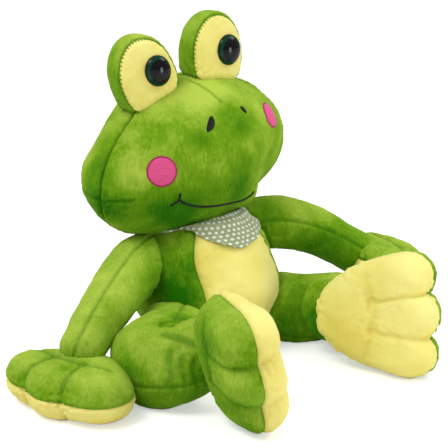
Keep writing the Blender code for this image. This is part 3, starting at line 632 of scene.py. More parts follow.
def torso_grid(rows=101, steps=160):
    """A quarter round that bears on the floor, under a side that draws in to a round top."""
    base = TORSO_BASE
    floor = int(rows * 0.36)
    around = np.arange(steps) / steps * math.tau
    grid = np.empty((rows, steps, 3))
    for number in range(rows):
        if number <= floor:
            angle = math.pi / 2 * number / floor
            height = (base.z + SEAT_PRESS) * (1 - math.cos(angle)) - SEAT_PRESS
            wide, ahead, back = base.x / 2 * math.sin(angle), base.y / 2 * math.sin(angle), 0.0
            behind = ahead
        else:
            climb = math.sin(math.pi / 2 * (number - floor) / (rows - 1 - floor))
            height = base.z + (TORSO_TOP - base.z) * climb
            wide, ahead, behind, back = torso_ring(height)
        draw = BELLY_DRAW * (1 - smooth(height, 0.070, 0.112))
        bent = around + draw * np.exp(-(((around - 1.5 * math.pi + BELLY_HALF_ANGLE) / 0.4) ** 2))
        deep = torso_depth(ahead, behind, np.sin(bent))
        grid[number] = np.stack([wide * np.cos(bent), deep + back, np.full(steps, max(height, 0.0))], -1)
    return grid


def curve_point(controls, share):
    while len(controls) > 1:
        controls = [first.lerp(second, share) for first, second in zip(controls, controls[1:])]
    return controls[0]


def limb_grid(controls, radii, rows=120, steps=72, caps=14, bend_share=0.75):
    """A limb along a curve with round ends; the inner side of a tight bend is drawn in."""
    root, middle, end = radii
    swell = 2 * middle - (root + end) / 2
    count = rows - 2 * caps
    shares = [step / (count - 1) for step in range(count)]
    places = [curve_point(controls, share) for share in shares]
    ahead = [(b - a).normalized() for a, b in zip([places[0], *places], [*places[1:], places[-1]])]
    ahead[0] = (controls[1] - controls[0]).normalized()
    ahead[-1] = (controls[-1] - controls[-2]).normalized()
    around = np.arange(steps) / steps * math.tau
    grid = []

    def ring(centre, direction, inner, outer, tall, bend_side):
        across = UP.cross(direction).normalized()
        up = direction.cross(across)
        wide = (inner + outer) / 2
        centre = centre + across * bend_side * (outer - inner) / 2
        aside, above = np.array(across) * wide, np.array(up) * tall
        return np.array(centre) + np.outer(np.cos(around), aside) + np.outer(np.sin(around), above)

    for cap in range(caps):
        angle = math.pi / 2 * (1 - cap / caps)
        wide = root * math.cos(angle)
        grid.append(ring(places[0] - ahead[0] * root * math.sin(angle), ahead[0], wide, wide, wide, 1))
    for number, share in enumerate(shares):
        radius = root * (1 - share) ** 2 + 2 * swell * share * (1 - share) + end * share**2
        before, after = max(number - 1, 0), min(number + 1, count - 1)
        bend = ahead[after] - ahead[before]
        span = (places[after] - places[before]).length
        room = bend_share * span / max(bend.length, 1e-6)
        inner = (radius**-4 + room**-4) ** -0.25 if 0 < number < count - 1 else radius
        across = UP.cross(ahead[number]).normalized()
        bend_side = -math.copysign(1, bend.dot(across))
        grid.append(ring(places[number], ahead[number], inner, radius, radius, bend_side))
    for cap in range(1, caps + 1):
        angle = math.pi / 2 * cap / caps
        wide = end * math.cos(angle)
        grid.append(ring(places[-1] + ahead[-1] * end * math.sin(angle), ahead[-1], wide, wide, wide, 1))
    return np.array(grid)


def pad_fill(x, y, size, heel, web):
    """How near the edge of a three-toed pad a point is: 0 or less well inside, 1 at the outline."""
    length, width = size.x, size.y
    shapes = [
        (np.abs((x + 0.07 * length) / (0.45 * length)) ** 2.3
         + np.abs(y / (0.5 * width * (heel + (1 - heel) * smooth(x / length, -0.5, 0.1)))) ** 2.3)
    ]
    for across, ahead, spread in ((-0.31, -0.01, -0.2), (0, 0.05, 0.0), (0.31, -0.01, 0.2)):
        dx, dy = x - (0.215 + ahead) * length, y - across * width
        along = dx * math.cos(spread) + dy * math.sin(spread)
        aside = dy * math.cos(spread) - dx * math.sin(spread)
        shapes.append((along / (0.27 * length)) ** 2 + (aside / (0.22 * width)) ** 2)
    return -web * np.log(sum(np.exp(-shape / web) for shape in shapes))


def pad_grid(size, heel, web, rows=83, steps=216):
    """A stuffed pad toward +X with three toes: the first rows are its top, the middle row its rim."""
    around = np.arange(steps) / steps * math.tau
    low, high = np.zeros(steps), np.full(steps, size.y)
    for _ in range(40):
        middle = (low + high) / 2
        inside = pad_fill(middle * np.cos(around), middle * np.sin(around), size, heel, web) < 1
        low, high = np.where(inside, middle, low), np.where(inside, high, middle)
    rim = np.stack([low * np.cos(around), low * np.sin(around)], -1)
    half = rows // 2
    grid = np.empty((rows, steps, 3))
    for row in range(rows):
        share = math.sin(math.pi / 2 * (1 - abs(row - half) / half)) if row != half else 1.0
        flat = rim * share
        lobed, even = (pad_fill(flat[:, 0], flat[:, 1], size, heel, joined) for joined in (web, 0.5))
        fill = np.clip(even + (lobed - even) * share**5, 0, 1)
        height = size.z / 2 * (1 - fill**1.3) ** 0.5 if row != half else np.zeros(steps)
        grid[row] = np.column_stack([flat, height if row < half else -height])
    shift = (grid[..., 0].max() + grid[..., 0].min()) / 2
    grid[..., 0] -= shift
    grid[..., 0] *= size.x / (grid[..., 0].max() - grid[..., 0].min())
    grid[..., 1] *= size.y / (grid[..., 1].max() - grid[..., 1].min())
    return grid


def pad_sewing(form, size, face, depth):
    """Thread drawn into one face of a pad: between the toes, at their roots, and across the ball."""
    tree = tree_of(form)

    def on_face(spots):
        found = []
        for x, y in dense_line([(size.x * x, size.y * y, 0) for x, y in spots])[:, :2]:
            start = form.place @ Vector((x, y, face * size.z))
            spot = tree.ray_cast(start, form.place.to_3x3() @ Vector((0, 0, -face)))[0]
            if spot is not None:
                found.append(np.array(spot))
        return np.array(found)

    toes = [on_face([(x, side * y) for x, y in TOE_LINE]) for side in (-1, 1)]
    for line in toes:
        form.groove(line, depth, 0.0024, 0.0005, 0.012)
    for line in toes:
        form.groove(line[-1:], depth, 0.0060, 0.0002, 0.014)
    form.groove(on_face(BALL_LINE), depth * 0.8, 0.0042, 0.0004, 0.012)


def heel_gathers(form, size, seam):
    """Short pleats where the sole is eased into the seam round the heel, their hollows darkened as painted
    shade.
    """
    away = away_from(form.points, seam)
    back = form.place.inverted()
    local = np.array([back @ Vector(point) for point in form.points])
    angle = np.arctan2(local[:, 1], local[:, 0] - 0.02)
    wave = np.abs(np.sin(angle * 10 + 3.0 * rough(form.points, 0.03)))
    near = np.exp(-(((away - 0.009) / 0.012) ** 2)) * smooth(away, 0.0005, 0.005) * (local[:, 2] < 0)
    near *= (1 - smooth(local[:, 0] / size.x, -0.25, 0.0)) * smooth(rough(form.points + 5, 0.035), -0.45, 0.2)
    form.push(near * (0.0006 * wave - 0.0020 * (1 - wave) ** 2))
    # The pleats' hollows are added to the seam mask, which darkens them: painted shade.
    form.seam = np.maximum(form.seam, 0.8 * near * (1 - wave) ** 2)


# The camera, and what it sees through a pixel
BACKWARD = Vector(
    (
        math.sin(CAMERA_AZIMUTH) * math.cos(CAMERA_HEIGHT),
        -math.cos(CAMERA_AZIMUTH) * math.cos(CAMERA_HEIGHT),
        math.sin(CAMERA_HEIGHT),
    )
)
RIGHTWARD = Vector((math.cos(CAMERA_AZIMUTH), math.sin(CAMERA_AZIMUTH), 0))
UPWARD = BACKWARD.cross(RIGHTWARD)
CAMERA_PLACE = CAMERA_AIM + BACKWARD * CAMERA_DISTANCE


def seen_point(tree, pixel):
    """Where the camera's ray through a pixel of the photograph meets a form."""
    half = IMAGE_PIXELS / 2
    ray = RIGHTWARD * (pixel[0] - half) + UPWARD * (half - pixel[1]) - BACKWARD * FOCAL_PIXELS
    spot = tree.ray_cast(CAMERA_PLACE, ray.normalized())[0]
    return None if spot is None else np.array(spot)


def seen(form, pixels):
    """A line given by pixels, on the form that the camera sees there."""
    tree = tree_of(form)
    spots = [seen_point(tree, pixel) for pixel in dense_line(pixels, 1.0)]
    spots = [spot for spot in spots if spot is not None]
    return dense_line(spots) if len(spots) > 1 else np.empty((0, 3))


def in_picture(points):
    """The pixels at which the camera sees points."""
    ahead = points - np.array(CAMERA_PLACE)
    far = -(ahead @ np.array(BACKWARD))
    half = IMAGE_PIXELS / 2
    x = half + FOCAL_PIXELS * (ahead @ np.array(RIGHTWARD)) / far
    return np.stack([x, half - FOCAL_PIXELS * (ahead @ np.array(UPWARD)) / far], -1)


def nudge(form, pixel, radius, amount):
    """Swells or draws in a form about its point nearest to a pixel of the photograph."""
    away = np.linalg.norm(in_picture(form.points) - np.array(pixel), axis=1)
    away[form.normals() @ np.array(BACKWARD) < -0.25] = 1e6
    centre = form.points[away.argmin()]
    form.push(amount * np.exp(-((np.linalg.norm(form.points - centre, axis=1) / radius) ** 2)))


def nudge_all(form, spots):
    for spot in spots:
        nudge(form, *spot)


def seam_share(form, pixel):
    """The share of the way round a limb at which the camera sees its surface at a pixel."""
    spot = seen_point(tree_of(form), pixel)
    return form.step_of[np.linalg.norm(form.points - spot, axis=1).argmin()] / form.steps


def heading_vector(side, heading, drop=0.0):
    level = math.cos(drop)
    return Vector((SIDES[side] * math.cos(heading) * level, -math.sin(heading) * level, -math.sin(drop)))


def facing(ahead, upward):
    """The rotation that points a form's +X ahead and its +Z as near upward as it can."""
    across = upward.cross(ahead).normalized()
    return Matrix((ahead, across, ahead.cross(across))).transposed().to_4x4()


def join_line(form, tree, reach=0.0012):
    """The points of a form where it meets the surface of another."""
    return form.points[np.abs(depth_in(tree, form.points)) < reach]


def pleats(form, line, count, axis, depth=0.0011, reach=0.020):
    """Radial pleats beside a gathered seam, fading away from it."""
    away = away_from(form.points, line)
    middle = Vector(line.mean(0))
    turn = np.array(facing(axis.normalized(), UP).to_3x3())
    local = (form.points - np.array(middle)) @ turn
    angle = np.arctan2(local[:, 2], local[:, 1])
    wobble = rough(form.points, 0.03) * 0.5
    wave = np.abs(np.sin(angle * count / 2 + wobble * 2.4))
    fade = np.exp(-((away / reach) ** 2))
    form.push(-depth * 1.6 * (1 - wave) ** 2 * fade * 1.8 + depth * 0.5 * wave * fade)


# Head
# Spots on the head, each (pixel, radius, amount): partly patches of the pile's own lie, partly painted light
# on the lit forehead and painted shade low on the face and under the chin.
HEAD_NAP_AND_SHADE_MARKS = (
    ((190, 93), 0.022, 0.38),
    ((208, 90), 0.018, 0.34),
    ((228, 90), 0.014, 0.20),
    ((128, 157), 0.024, 0.26),
    ((112, 180), 0.015, 0.24),
    ((136, 180), 0.016, 0.14),
    ((170, 137), 0.014, 0.14),
    ((189, 162), 0.014, 0.10),
    ((252, 145), 0.010, 0.24),
    ((266, 150), 0.010, 0.24),
    ((179, 108), 0.010, -0.30),
    ((156, 126), 0.016, -0.24),
    ((132, 124), 0.010, -0.24),
    ((225, 111), 0.012, -0.26),
    ((207, 142), 0.020, -0.30),
    ((244, 124), 0.013, -0.26),
    ((239, 186), 0.018, -0.32),
    ((208, 188), 0.020, -0.24),
    ((190, 217), 0.028, -0.42),
    ((168, 214), 0.024, -0.36),
    ((156, 201), 0.018, -0.26),
    ((118, 208), 0.020, -0.34),
    ((225, 208), 0.020, -0.18),
    ((98, 175), 0.022, -0.45),
    ((104, 150), 0.020, -0.30),
    ((93, 200), 0.018, -0.30),
)
neck = JOINTS["neck_turn"]
head_place = (
    Matrix.Translation(neck)
    @ Matrix.Rotation(HEAD_TURN, 4, "Z")
    @ Matrix.Translation(HEAD_OFFSET)
    @ Matrix.Rotation(HEAD_ROLL, 4, "Y")
)
head = Form(head_grid(), head_place)


def off_front(round_):
    """The angle between a direction round a form and its front."""
    return abs((round_ * math.tau - math.pi / 2) % math.tau - math.pi)


def seen_spots(form, nap_and_shade_marks):
    """Spots given by pixel, each (pixel, radius, amount), moved to the form's surface."""
    tree = tree_of(form)
    spots = [(seen_point(tree, pixel), radius, amount) for pixel, radius, amount in nap_and_shade_marks]
    return [spot for spot in spots if spot[0] is not None]


head.set_panels(lambda climb, round_: 0 if off_front(round_) < FACE_HALF_ANGLE else 1)
HEAD_SWELLS = (
    ((91, 140), 0.034, -0.0050),
    ((105, 122), 0.026, -0.0030),
    ((286, 150), 0.030, -0.0055),
    ((272, 172), 0.030, -0.0095),
    ((262, 188), 0.026, -0.0060),
    ((250, 195), 0.014, 0.0065),
    ((90, 208), 0.026, -0.0040),
    ((105, 220), 0.024, -0.0020),
    ((80, 176), 0.018, 0.0020),
    ((272, 108), 0.022, -0.0020),
    ((200, 229), 0.026, 0.0010),
)
nudge_all(head, HEAD_SWELLS)
dart = seen(head, [(186, 80), (198, 84), (211, 92), (221, 102)])
head.brush(seen_spots(head, HEAD_NAP_AND_SHADE_MARKS))
head.soften()
head_seams = head.seam_points()
head.groove(head_seams, 0.0019, 0.0019)
head.groove(dart, 0.0012, 0.0018, 0.0004, 0.008)
for out in (-1, 1):
    line = [head_place @ Vector((-out * x, y, z)) for x, y, z in CHEEK_DART]
    tree = tree_of(head)
    line = dense_line([np.array(tree.find_nearest(spot)[0]) for spot in line])
    head.groove(line, 0.0014, 0.0018, 0.0005, 0.009)
head_tree = tree_of(head)

# Torso
torso = Form(torso_grid(), Matrix.Identity(4))
torso.set_panels(lambda climb, round_: int(off_front(round_) < BELLY_HALF_ANGLE and 0.16 < climb < 0.76))
torso_seams = torso.seam_points()
torso.soften(0.0012)
torso.groove(torso_seams, 0.0018)
torso.keep_above_floor()
torso_tree = tree_of(torso)

# Eye bulges
bulges, eyes = {}, {}
for side, out in SIDES.items():
    place = (
        head_place
        @ Matrix.Translation((out * BULGE_PLACE.x, BULGE_PLACE.y, BULGE_PLACE.z))
        @ Matrix.Rotation(out * BULGE_TURN, 4, "Z")
        @ Matrix.Rotation(out * BULGE_LEAN, 4, "Y")
    )
    bulge = Form(bulge_grid(), place)
    bulge.set_panels(lambda climb, round_: 0 if climb < 0.34 else 1)
    seams = bulge.seam_points()
    bulge.soften(0.0007, 0.0003)
    bulge.groove(seams, 0.0016, 0.0018, 0.0004, 0.008)
    shift = {"right": 0.0024, "left": 0.0010}[side]
    bulge.points = bulge.points + np.array(RIGHTWARD * shift)
    place = Matrix.Translation(RIGHTWARD * shift) @ place
    bulge.groove(join_line(bulge, head_tree), 0.0012, 0.002)
    bulges[side] = bulge
    eyes[side] = place @ Matrix.Translation((EYE_TOWARD_LEFT, -BULGE_SIZE.y / 2 - 0.0003, EYE_RAISE))

# Arms
ARM_SWELLS = {
    "right": (((118, 247), 0.025, 0.0025),),
    "left": (((352, 222), 0.028, -0.0030), ((285, 195), 0.030, 0.0016)),
}
arms, hands, legs, feet = {}, {}, {}, {}
for side in SIDES:
    root, wrist = JOINTS["shoulder_" + side], JOINTS["wrist_" + side]
    controls = [root, root.lerp(wrist, ARM_BEND_PLACE) + UP * 2 * ARM_ARCH[side], wrist]
    arm = Form(limb_grid(controls, ARM_RADII[side]), Matrix.Identity(4))
    start = seam_share(arm, {"right": (107, 286), "left": (318, 226)}[side])
    arm.set_panels(lambda climb, round_: 0 if (round_ - start) % 1 < 0.5 else 1)
    nudge_all(arm, ARM_SWELLS[side])
    seams = arm.seam_points()
    arm.soften()
    arm.groove(seams, 0.0013, 0.0017, 0.0003)
    joined = join_line(arm, torso_tree, 0.0018)
    arm.groove(joined, 0.0016, 0.0035)
    pleats(arm, joined, 11, controls[1] - controls[0], 0.0005)
    arms[side] = arm

# Legs
LEG_SWELLS = {
    "right": (((116, 352), 0.030, 0.012), ((118, 340), 0.026, 0.0030), ((136, 400), 0.026, 0.007),
              ((176, 300), 0.024, -0.006)),
    "left": (((290, 343), 0.024, 0.007), ((300, 272), 0.03, -0.002)),
}
for side in SIDES:
    hip, ankle = JOINTS["hip_" + side], JOINTS["ankle_" + side]
    thigh = hip + heading_vector(side, THIGH_HEADING[side]) * THIGH_PULL[side]
    shin = ankle - heading_vector(side, SHIN_HEADING[side]) * SHIN_PULL[side]
    low_knee = KNEE_MIDDLE[side]
    thigh.z = shin.z = low_knee + (2 * low_knee - hip.z - ankle.z) / 6
    leg = Form(limb_grid([hip, thigh, shin, ankle], LEG_RADII[side], 150, 96), Matrix.Identity(4))
    start = seam_share(leg, {"right": (158, 388), "left": (305, 313)}[side])
    width = {"right": -0.34, "left": 0.40}[side]
    low, high = sorted((start, start + width))
    leg.set_panels(lambda climb, round_: 1 if (round_ - low) % 1 < high - low else 0)
    nudge_all(leg, LEG_SWELLS[side])
    seams = leg.seam_points()
    leg.soften(0.0013)
    leg.groove(seams, 0.0012, 0.002)
    joined = join_line(leg, torso_tree, 0.0018)
    leg.groove(joined, 0.0016, 0.0035)
    leg.keep_above_floor()
    legs[side] = leg
legs["right"].groove(
    seen(legs["right"], [(163, 334), (176, 338), (190, 343), (203, 347)]), 0.0028, 0.004, 0.0008, 0.014
)
for wrinkle in (
    [(171, 352), (169, 366), (172, 379)],
    [(183, 356), (181, 368), (184, 381)],
    [(195, 358), (193, 372), (197, 386)],
):
    legs["right"].groove(seen(legs["right"], wrinkle), 0.0012, 0.003, 0.0004, 0.008)

# Hands
HAND_SWELLS = {
    "right": (((2, 385), 0.030, -0.0070), ((55, 420), 0.024, 0.0030), ((128, 408), 0.024, 0.0060),
              ((38, 350), 0.02, 0.002)),
    "left": (((440, 275), 0.030, -0.0070), ((405, 238), 0.024, 0.0030)),
}
for side in SIDES:
    ahead = heading_vector(side, HAND_HEADING[side], HAND_DROP[side])
    turn = facing(ahead, UP)
    hand_grid = pad_grid(HAND_SIZE, 0.75, 0.26)
    middle = JOINTS["wrist_" + side] + ahead * HAND_REACH - Vector((0, HAND_ASIDE, 0))
    middle += RIGHTWARD * {"right": 0.007, "left": -0.006}[side]
    toward = np.array(Vector((BACKWARD.x, BACKWARD.y, 0)).normalized())
    if HAND_DROP[side] == 0:
        middle = Vector(np.array(middle) - 0.005 * toward)
        middle.z = HAND_SIZE.z / 2 * PALM_SHARE - SEAT_PRESS
    hand_grid[..., 2] *= np.where(hand_grid[..., 2] < 0, PALM_SHARE, 1)
    hand = Form(hand_grid, Matrix.Translation(middle) @ turn)
    if HAND_DROP[side] == 0:
        under = np.minimum(hand.points[:, 2] - middle.z, 0)
        nearer = smooth((hand.points - np.array(middle)) @ toward, 0.0, 0.055)
        hand.points[:, 2] -= 0.18 * nearer * under
    hand.set_panels(lambda climb, round_: 0 if climb < 0.5 else 1)
    nudge_all(hand, HAND_SWELLS[side])
    seams = hand.seam_points()
    hand.soften(0.0008)
    for face in (1, -1):
        pad_sewing(hand, HAND_SIZE, face, 0.0022)
    hand.groove(seams, 0.0012, 0.0018, 0.0006, 0.010)
    hand.keep_above_floor()
    hands[side] = hand

# Feet
FOOT_SWELLS = {
    "right": (((230, 424), 0.028, -0.0080), ((236, 422), 0.020, -0.0030), ((288, 398), 0.020, 0.0030),
              ((224, 292), 0.022, 0.0040)),
    "left": (((365, 368), 0.030, -0.0030), ((318, 318), 0.024, -0.0030), ((430, 258), 0.022, 0.0050),
             ((443, 318), 0.018, -0.0025)),
}
for side, out in SIDES.items():
    ahead = heading_vector(side, FOOT_HEADING[side])
    outward = UP.cross(ahead) * out
    top = outward * math.cos(FOOT_LEAN) - UP * math.sin(FOOT_LEAN)
    turn = facing(ahead, top)
    foot_grid = pad_grid(FOOT_SIZE, 0.70, {"right": 0.20, "left": 0.15}[side])
    middle = JOINTS["ankle_" + side] + ahead * FOOT_REACH
    middle.z = 0.0
    foot = Form(foot_grid, Matrix.Translation(middle) @ turn @ Matrix.Rotation(FOOT_ROLL[side], 4, "Z"))
    lift = -foot.points[:, 2].min() - 0.0015
    foot.points[:, 2] += lift
    foot.place = Matrix.Translation((0, 0, lift)) @ foot.place
    foot.set_panels(lambda climb, round_: 0 if climb < 0.5 else 1)
    local = np.array([foot.place.inverted() @ Vector(point) for point in foot.points])
    raised = foot.points[:, 2] - foot.points[:, 2].mean()
    reach = smooth(local[:, 0] / FOOT_SIZE.x, -0.1, 0.4)
    splay = {"right": 0.0, "left": -0.04}[side]
    foot.points = foot.points + np.outer(raised * reach * splay, np.array(ahead))
    nudge_all(foot, FOOT_SWELLS[side])
    seams = foot.seam_points()
    foot.soften(0.0008)
    for face, depth in ((1, 0.0012), (-1, 0.0026)):
        pad_sewing(foot, FOOT_SIZE, face, depth)
    foot.groove(seams, 0.0012, 0.0018, 0.0006, 0.010)
    heel_gathers(foot, FOOT_SIZE, seams)
    foot.keep_above_floor()
    feet[side] = foot

# The end of each leg, flattened where it would stand out of the sole
for side in SIDES:
    leg, turn = legs[side], np.array(feet[side].place.to_3x3())
    local = (leg.points - np.array(feet[side].place.translation)) @ turn
    near = 1 - smooth(np.linalg.norm(leg.points - np.array(JOINTS["ankle_" + side]), axis=1), 0.045, 0.060)
    low = np.minimum(local[:, 2] - 0.010, 0) * 0.85
    leg.points = leg.points - np.outer(low * near, turn[:, 2])
    leg.keep_above_floor()

hand_trees = {side: tree_of(form) for side, form in hands.items()}
foot_trees = {side: tree_of(form) for side, form in feet.items()}


def finish_piece(piece, body=None, blended=None, nodes=()):
    """What moves the piece, and the solids that it stands for, which it hides."""
    if nodes:
        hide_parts(*nodes)
    if blended is not None:
        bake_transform(piece)
    else:
        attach(piece, body)
    return piece


# Spots on the rest, each (pixel, radius, amount): partly patches of the pile's own lie, partly painted shade
# in the creases between torso, legs, arms and feet and on shaded sides, and painted light on lit parts such
# as the right arm's upper side and the palm
for form, nap_and_shade_marks in (
    (torso, (((180, 260), 0.030, -0.34), ((168, 297), 0.022, -0.60), ((186, 300), 0.016, -0.30),
             ((176, 245), 0.014, 0.10), ((199, 262), 0.012, -0.20), ((206, 262), 0.016, -0.06),
             ((268, 285), 0.022, 0.35), ((240, 285), 0.03, 0.10),
             ((203, 262), 0.014, 0.15))),
    (arms["right"], (((100, 310), 0.030, 0.22), ((130, 285), 0.026, 0.30), ((125, 262), 0.020, 0.12),
                     ((80, 335), 0.02, 0.10), ((143, 240), 0.012, -0.20))),
    (arms["left"], (((318, 238), 0.026, -0.42), ((345, 250), 0.022, -0.40), ((285, 210), 0.020, -0.12),
                    ((262, 215), 0.016, -0.25), ((300, 222), 0.012, 0.10), ((330, 228), 0.014, -0.10))),
    (legs["right"], (((160, 325), 0.018, -0.35), ((185, 320), 0.016, -0.50), ((165, 398), 0.03, -0.15),
                     ((128, 370), 0.018, -0.50), ((150, 352), 0.018, 0.16), ((202, 370), 0.016, -0.40))),
    (legs["left"], (((298, 288), 0.018, -0.16), ((312, 325), 0.024, -0.65), ((290, 335), 0.02, -0.40))),
    (hands["right"], (((30, 366), 0.022, 0.10), ((74, 378), 0.020, 0.10), ((110, 388), 0.018, 0.12),
                      ((66, 368), 0.008, -0.40), ((22, 382), 0.012, -0.25), ((60, 400), 0.012, -0.25),
                      ((58, 416), 0.020, 0.35), ((110, 416), 0.012, 0.30))),
    (feet["right"], (((225, 326), 0.024, -0.12), ((248, 398), 0.022, 0.10), ((236, 372), 0.018, 0.06),
                     ((208, 345), 0.012, -0.25), ((256, 318), 0.020, 0.2))),
    (feet["left"], (((360, 310), 0.05, 0.10), ((410, 300), 0.03, 0.24), ((335, 325), 0.016, -0.45),
                    ((352, 345), 0.018, -0.40), ((410, 270), 0.02, 0.25), ((415, 350), 0.03, 0.10))),
    (bulges["right"], (((130, 50), 0.02, 0.2), ((147, 100), 0.018, -0.05))),
    (bulges["left"], (((215, 25), 0.02, 0.1), ((215, 72), 0.018, -0.15))),
):
    form.brush(seen_spots(form, nap_and_shade_marks))


def cover(form, name, yellow, panels, body, nodes, hidden_in=(), tuck=TUCK, blended=None):
    """A panel of a form as a piece of cloth with a thickness, in place of its solids."""
    slot, pile = ("yellow_pile", YELLOW_PILE) if yellow else ("green_pile", GREEN_PILE)
    finish_piece(cut_piece(form, name, pile, panels, hidden_in, tuck), body, blended, nodes)


# Pieces of cloth
inside_head = ("head_face", "head_chin", "head_stuffing")
cover(head, "head_face_cloth", False, (0,), "head", inside_head, (torso_tree,), HEAD_TUCK)
cover(head, "head_back_cloth", False, (1,), "head", ("head_back",), (torso_tree,), HEAD_TUCK)
cover(torso, "torso_cloth", False, (0,), "torso", ("torso_back", "torso_stuffing"))
cover(torso, "belly_cloth", True, (1,), "torso", ("belly_panel",))
for side in SIDES:
    own, bulge, hand, foot = "_" + side, bulges[side], "hand_" + side, "foot_" + side
    inside = ("eye_front" + own, "eye_stuffing" + own)
    cover(bulge, "eye_front_cloth" + own, True, (0,), "head", inside, (head_tree,))
    cover(bulge, "eye_back_cloth" + own, False, (1,), "head", ("eye_back" + own,), (head_tree,))
    root = JOINTS["shoulder" + own]
    along = (JOINTS["wrist" + own] - root).normalized()
    blended = ("torso", "arm" + own, root, root + along * BLEND_REACH)
    inside = tuple("arm_" + name + own for name in ("upper", "lower", "stuffing"))
    hidden_in = (torso_tree, hand_trees[side])
    cover(arms[side], "arm_cloth" + own, False, None, None, inside, hidden_in, TUCK, blended)
    inside = ("hand_back" + own, "hand_stuffing" + own)
    cover(hands[side], "hand_back_cloth" + own, False, (0,), hand, inside)
    cover(hands[side], "palm_cloth" + own, True, (1,), hand, ("palm" + own,))
    root = JOINTS["hip" + own]
    along = heading_vector(side, THIGH_HEADING[side])
    blended = ("torso", "leg" + own, root, root + along * BLEND_REACH)
    inside = tuple("leg_" + name + own for name in ("upper", "lower", "stuffing"))
    hidden_in = (torso_tree, foot_trees[side])
    cover(legs[side], "leg_cloth" + own, False, None, None, inside, hidden_in, TUCK, blended)
    inside = ("foot_top" + own, "foot_stuffing" + own)
    cover(feet[side], "foot_top_cloth" + own, False, (0,), foot, inside)
    cover(feet[side], "sole_cloth" + own, True, (1,), foot, ("sole" + own,))


# Eyes
def add_eye(side):
    """A moulded dome with a softened edge, pressed a little into the pile."""
    rings, steps = 26, 72
    points, rims = [(0, -EYE_SIZE.y, 0)], [0.0]
    for ring in range(1, rings):
        angle = math.pi / 2 * ring / (rings - 4)
        share = math.sin(min(angle, math.pi / 2))
        depth = -EYE_SIZE.y * math.cos(min(angle, math.pi / 2))
        if angle > math.pi / 2:
            drop = (angle - math.pi / 2) / (math.pi / 2)
            depth = EYE_SIZE.y * drop * 3.2
            share = 1 - 0.4 * drop
        for step in range(steps):
            turn = math.tau * step / steps
            wide, tall = EYE_SIZE.x / 2 * share, EYE_SIZE.z / 2 * share
            points.append((wide * math.cos(turn), depth, tall * math.sin(turn)))
            rims.append(share if angle <= math.pi / 2 else 1.0)
    faces = fan(0, list(range(steps, 0, -1))) + grid_quads(rings - 1, steps, 1)
    faces.append(tuple(range(len(points) - 1, len(points) - 1 - steps, -1)))
    spots = [eyes[side] @ Vector(point) for point in points]
    piece = new_piece("eye_dome_" + side, spots, faces, EYE_GLOSS, {"rim": rims})
    finish_piece(piece, "head", None, ("eye_" + side,))


def add_ladder(side):
    """Short stitches of the green thread that closes the seam between a bulge's front and its back."""
    bulge, sides = bulges[side], 6
    yellow = [face for face, panel in zip(bulge.faces, bulge.panels) if panel]
    row = min(bulge.row_of[corner] for face in yellow for corner in face)
    points, faces = [], []
    for step in range(0, bulge.steps, 2):
        ends = [bulge.points[1 + (row - 1 + shift) * bulge.steps + step] for shift in (-3, 1)]
        middle = bulge.points[1 + (row - 1) * bulge.steps + step]
        ends[0] = middle + (ends[0] - middle) * min(1.0, STITCH_REACH / np.linalg.norm(ends[0] - middle))
        if depth_in(head_tree, [middle])[0] > -0.001:
            continue
        ahead = Vector(ends[1] - ends[0]).normalized()
        normal = Vector(middle - np.array(bulge.place.translation)).normalized()
        across = normal.cross(ahead).normalized()
        normal = ahead.cross(across)
        first = len(points)
        for share, wide in ((0.0, 0.3), (0.15, 1.0), (0.85, 1.0), (1.0, 0.3)):
            centre = Vector(ends[0]).lerp(Vector(ends[1]), share) + normal * 0.0003
            for corner in range(sides):
                angle = math.tau * corner / sides
                offset = across * math.cos(angle) + normal * math.sin(angle)
                points.append(centre + offset * STITCH_RADIUS * wide)
        faces += grid_quads(4, sides, first)
        faces.append(tuple(range(first, first + sides))[::-1])
        faces.append(tuple(range(first + 3 * sides, first + 4 * sides)))
    nap_and_shade_marks = {"nap_and_painted_shading": np.full(len(points), 0.30), "seam": np.zeros(len(points))}
    finish_piece(new_piece("eye_stitches_" + side, points, faces, GREEN_PILE, nap_and_shade_marks), "head")


for side in SIDES:
    add_eye(side)
    add_ladder(side)
    bpy.data.objects["washer_" + side].material_slots[0].material = WASHER_PLASTIC


# Embroidery
def embroider(name, material, centre, outline, height, node_name):
    """A satin-stitched patch: an outline about a point of the head, laid on the cloth and domed."""
    normal = head_tree.find_nearest(centre)[1]
    turn = facing(normal, UP)
    turn.translation = centre + normal * 0.02
    rings = 12
    spot, spot_normal = head_tree.ray_cast(turn.translation, -normal)[:2]
    points, rims = [np.array(spot + spot_normal * height)], [0.0]
    for ring in range(1, rings + 1):
        share = 1 - (1 - ring / rings) ** 1.5
        for across, up in outline:
            start = turn @ Vector((0, across * share, up * share))
            spot, spot_normal = head_tree.ray_cast(start, -normal)[:2]
            if spot is None:
                spot, spot_normal = head_tree.find_nearest(start)[:2]
            lift = height * (1 - share**3) ** 0.6 - (EMBROIDERY_EDGE if ring == rings else 0)
            points.append(np.array(spot + spot_normal * lift))
            rims.append(share)
    steps = len(outline)
    faces = fan(0, list(range(1, steps + 1))) + [face[::-1] for face in grid_quads(rings, steps, 1)]
    piece = new_piece(name, points, faces, material, {"rim": rims})
    finish_piece(piece, "head", None, (node_name,))


def oval(width, height, lean=0.0, bend=0.0, steps=40):
    points = []
    for step in range(steps):
        angle = math.tau * step / steps
        x, z = width / 2 * math.cos(angle), height / 2 * math.sin(angle)
        x += bend * (1 - (2 * z / height) ** 2)
        points.append((x * math.cos(lean) - z * math.sin(lean), x * math.sin(lean) + z * math.cos(lean)))
    return points


